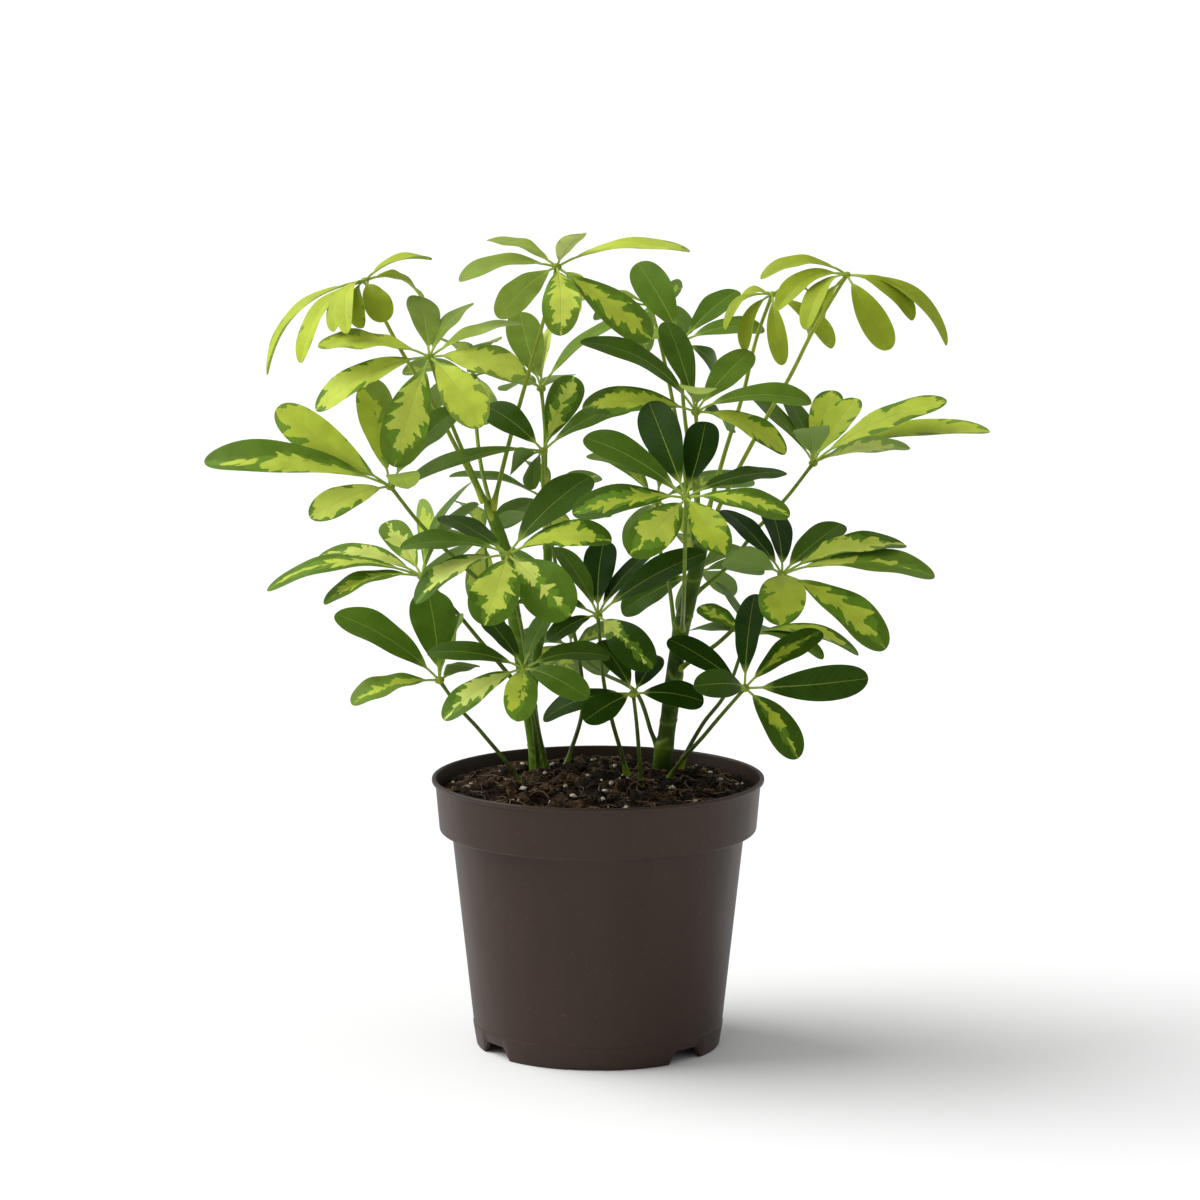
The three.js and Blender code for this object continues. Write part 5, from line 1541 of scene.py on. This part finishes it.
@dataclass
class PottingMix:
    """The soil: a lumpy mound of peat with bark chips, fibres, fine roots and perlite on top."""

    edge_radius: float = 81.18
    edge_z: float = 132.0
    mound: float = 7.0
    relief: float = 1.6
    relief_fade: float = 6.0
    lump_spacing: tuple[float, float] = (30.0, 37.0)
    lump_shift: tuple[float, float] = (1.3, -0.4)
    small_spacing: tuple[float, float] = (57.0, 22.0)
    small_share: float = 0.6
    crumb_sizes: tuple[tuple[float, float], ...] = ((12.0, 1.9), (6.0, 1.3), (3.2, 0.8), (1.8, 0.35))
    wall: tuple[tuple[float, float], ...] = ((80.4, 126.0), (79.6, 114.9), (73.3, 113.2), (61.1, 10.2),
                                             (30.0, 10.2))
    rings: int = 84
    segments: int = 300
    chips: Crumb = Crumb(2400, 3, (0.5, 1.5, 3), ((0.9, 2.4), (0.6, 1.1), (0.35, 0.7)), (0, 0.5), 6, 5,
                         (-0.35, 0.35), 0.3, -0.5, 0.08)
    clods: Crumb = Crumb(30, 5, (1.6, 2.0, 1), ((0.9, 1.4), (0.7, 1.1), (0.6, 0.9)), (0, 0.1), 11, 8,
                         (-0.25, 0.1), 0.35)
    beads: Crumb = Crumb(64, 4, (0.55, 1.0, 1.8), ((0.8, 1.6), (0.7, 1.1), (0.6, 0.9)), (0.9, 0.4), 9, 7)
    fibres: int = 420
    fibre_margin: float = 9.0
    fibre_sides: int = 5

    def height(self, x: np.ndarray, y: np.ndarray) -> np.ndarray:
        """Gives the height of the smooth mound, the same as the plain solid's.

        Args:
            x: Places to the right of the pot's axis.
            y: Places behind it.

        Returns:
            Heights.
        """
        share = np.hypot(x, y) / self.edge_radius
        lumps = (np.sin(CIRCLE * x / self.lump_spacing[0] + self.lump_shift[0])
                 * np.cos(CIRCLE * y / self.lump_spacing[1] + self.lump_shift[1]))
        small = np.sin(CIRCLE * x / self.small_spacing[0] - CIRCLE * y / self.small_spacing[1])
        relief = self.relief * (lumps + self.small_share * small)
        return self.edge_z + self.mound * (1 - share ** 2) + relief * (1 - share ** self.relief_fade)

    def crumbs(self, x: np.ndarray, y: np.ndarray, rng: np.random.Generator) -> np.ndarray:
        """Gives the fine crumbly relief on top of the mound.

        Args:
            x: Places to the right of the pot's axis.
            y: Places behind it.
            rng: The source of the crumbs.

        Returns:
            Heights above the smooth mound.
        """
        total = np.zeros_like(x)
        for size, rise in self.crumb_sizes:
            for _ in range(5):
                way = rng.uniform(0, CIRCLE)
                phase = rng.uniform(0, CIRCLE, 2)
                bent = 1.7 * np.sin((x * math.sin(way) - y * math.cos(way)) / size * 1.9 + phase[0])
                total += rise / 2.4 * np.sin(CIRCLE * (x * math.cos(way) + y * math.sin(way)) / size / 1.6
                                             + bent + phase[1])
        return total

    def build_ground(self, material: bpy.types.Material) -> bpy.types.Object:
        """Builds the body of the soil.

        Args:
            material: Its material.

        Returns:
            The soil.
        """
        rng = np.random.default_rng(SEED + 200)
        angle = round_angles(self.segments)
        reach = self.edge_radius * np.linspace(0.004, 1, self.rings) ** 0.8
        x, y = reach[:, None] * np.cos(angle), reach[:, None] * np.sin(angle)
        relief = self.crumbs(x, y, rng) * (1 - (reach / self.edge_radius)[:, None] ** 10)
        top = np.stack([x, y, self.height(x, y) + relief], axis=-1)
        circle = np.stack([np.cos(angle), np.sin(angle), 0 * angle], axis=-1)
        wall = np.array([radius * circle + [0, 0, height] for radius, height in self.wall])
        grid = np.concatenate([top, wall], axis=0)
        # Painted light and shade: the soil is lighter to the left, where the key light falls, darker to the
        # right, darker in its hollows and lighter on its crests.
        light = 0.2 * np.clip(-grid[..., 0] / self.edge_radius, -1, 1) - 0.08
        light[:self.rings] += np.clip(0.09 * relief, -0.3, 0.15)
        bag = MeshBag("tone")
        bag.add_grid(grid[::-1], tone=tones(light.shape, light))
        return bag.build("potting_soil", [material], "soil", "soil", sharp=80)

    def scatter(self, count: int, rng: np.random.Generator, margin: float) -> np.ndarray:
        """Picks places on the soil.

        Args:
            count: How many.
            rng: The source of the places.
            margin: How far they stay from its edge.

        Returns:
            Rows of x, y and z.
        """
        radius = (self.edge_radius - margin) * np.sqrt(rng.uniform(0, 1, count))
        angle = rng.uniform(0, CIRCLE, count)
        x, y = radius * np.cos(angle), radius * np.sin(angle)
        return np.stack([x, y, self.height(x, y)], axis=-1)

    def strew(self, bag: MeshBag, kind: Crumb, rng: np.random.Generator) -> None:
        """Strews one kind of lump over the soil.

        Args:
            bag: The mesh.
            kind: The kind.
            rng: The source of their places, sizes, turns and bumps.
        """
        least, most, rarity = kind.size
        for place in self.scatter(kind.count, rng, kind.margin):
            size = least + most * rng.uniform() ** rarity
            shape = np.array([rng.uniform(*limits) for limits in kind.shape]) * size
            tint = 0.0
            if kind.tint:
                # Painted light: lumps are lighter the further left they lie, where the key light falls.
                left = np.clip(-place[0] / self.edge_radius, kind.right_limit, 1)
                tint = rng.uniform(*kind.tint) + (kind.painted_light_leftward * left - kind.darker)
            lump = ball(kind.rows, kind.sides, 0.42, 1 + rng.uniform(-0.34, 0.3, (kind.rows, kind.sides)))
            turn = Matrix.Rotation(rng.uniform(0, CIRCLE), 3, "Z")
            turn = turn @ Matrix.Rotation(rng.uniform(-0.5, 0.5), 3, "X")
            middle = place + [0, 0, kind.lift[0] + kind.lift[1] * size]
            bag.add_grid(lump * shape @ np.array(turn).T + middle, tone=(tint, 0, 0))

    def build_fibres(self, material: bpy.types.Material) -> bpy.types.Object:
        """Lays fine roots and bark fibres over the soil.

        Args:
            material: Their material.

        Returns:
            The fibres.
        """
        rng = np.random.default_rng(SEED + 203)
        bag = MeshBag("tone")
        s = np.linspace(-0.5, 0.5, 9)
        for place in self.scatter(self.fibres, rng, self.fibre_margin):
            length = rng.uniform(3, 14)
            turn = rng.uniform(0, CIRCLE) + rng.uniform(-1.2, 1.2) * s
            x = place[0] + length * s * np.cos(turn)
            y = place[1] + length * s * np.sin(turn)
            rise = rng.uniform(0.6, 1.8) + rng.uniform(0, 1.6) * np.sin(math.pi * (s + 0.5)) ** 2
            line = np.stack([x, y, self.height(x, y) + rise], axis=-1)
            radius = rng.uniform(0.1, 0.3) * (1 - 0.6 * np.abs(2 * s) ** 3)
            bag.add_grid(tube(line, radius, self.fibre_sides), tone=(rng.uniform(0.2, 1.5), 0, 0))
        return bag.build("fine_roots", [material], "soil", sharp=80)

    def build(self, peat: bpy.types.Material, perlite: bpy.types.Material,
              root: bpy.types.Material) -> list[bpy.types.Object]:
        """Builds the soil and what lies on it.

        Args:
            peat: The peat's material.
            perlite: The beads' material.
            root: The fibres' material.

        Returns:
            The soil, the chips and clods, the beads and the fibres.
        """
        pieces = [self.build_ground(peat)]
        bark, beads = MeshBag("tone"), MeshBag()
        rng = np.random.default_rng(SEED + 201)
        self.strew(bark, self.chips, rng)
        self.strew(bark, self.clods, rng)
        self.strew(beads, self.beads, np.random.default_rng(SEED + 202))
        pieces.append(bark.build("bark_chips", [peat], "soil", sharp=50))
        pieces.append(beads.build("perlite_beads", [perlite], "soil", sharp=60))
        return [*pieces, self.build_fibres(root)]


@dataclass
class Studio:
    """A plain pale floor, soft light from the left and behind, and the camera."""

    floor_radius: float = 30.0
    floor_sides: int = 64
    sensor_mm: float = 36.0
    far_clip: float = 100.0
    sky_strength: float = 0.5
    seen_sky_strength: float = 1.0
    sun_strength: float = 3.0
    sun_spread: float = math.radians(55)
    sun_azimuth: float = math.radians(-100)
    sun_height: float = math.radians(45)

    def build_floor(self) -> None:
        """Lays the floor."""
        mesh = bpy.data.meshes.new("studio_floor")
        corners = [(self.floor_radius * math.cos(a), self.floor_radius * math.sin(a), 0)
                   for a in round_angles(self.floor_sides)]
        mesh.from_pydata(corners, [], [list(range(self.floor_sides))])
        mesh.materials.append(FloorPaint().build())
        add_object("studio_floor", mesh)

    def build_light(self) -> None:
        """Lights the scene with a pale sky and one wide soft source."""
        world = bpy.data.worlds.new("studio_sky")
        bpy.context.scene.world = world
        world.use_nodes = True
        sky = world.node_tree.nodes["Background"]
        sky.inputs["Color"].default_value = (1, 1, 1, 1)
        seen = add_node(world.node_tree, "LightPath", (), "Is Camera Ray")
        strengths = (seen, 0, 1, self.sky_strength, self.seen_sky_strength)
        strength = add_node(world.node_tree, "MapRange", strengths)
        world.node_tree.links.new(strength, sky.inputs["Strength"])
        light = bpy.data.lights.new("soft_key", "SUN")
        light.energy = self.sun_strength
        light.angle = self.sun_spread
        level = math.cos(self.sun_height)
        source = Vector((level * math.sin(self.sun_azimuth), -level * math.cos(self.sun_azimuth),
                         math.sin(self.sun_height)))
        key = add_object("soft_key", light)
        key.rotation_mode = "QUATERNION"
        key.rotation_quaternion = source.to_track_quat("Z", "Y")

    def build_camera(self) -> None:
        """Places the camera where the plant is seen from."""
        data = bpy.data.cameras.new("camera")
        data.sensor_width = self.sensor_mm
        data.lens = SIGHT.focal_pixels / SIGHT.frame_pixels * self.sensor_mm
        data.clip_end = self.far_clip
        camera = add_object("camera", data)
        camera.location = (SIGHT.eye + POT_AXIS + [SIGHT.side_step, 0, 0]) * MM
        camera.rotation_mode = "QUATERNION"
        camera.rotation_quaternion = Vector(-SIGHT.view_back).to_track_quat("Z", "Y")
        bpy.context.scene.camera = camera

    def build(self) -> None:
        """Builds the studio."""
        self.build_floor()
        self.build_light()
        self.build_camera()
        bpy.context.scene.view_settings.view_transform = "Standard"


def main() -> None:
    """Builds the pieces in order and reports each, then the studio."""
    logging.basicConfig(level=logging.INFO, format="%(name)s: %(message)s")
    pieces = [NurseryPot().build(MouldedPolypropylene().build())]
    pieces += PottingMix().build(DampPeat().build(), ExpandedPerlite().build(), DryRoot().build())
    pieces += Trunks().build(YoungBark().build())
    pieces += Canopy().build(WaxyBlade().build(), GreenStalk().build())
    for piece in pieces:
        log.info("%s: %d points, %d faces", piece.name, len(piece.data.vertices), len(piece.data.polygons))
    Studio().build()


if __name__ == "__main__":
    main()
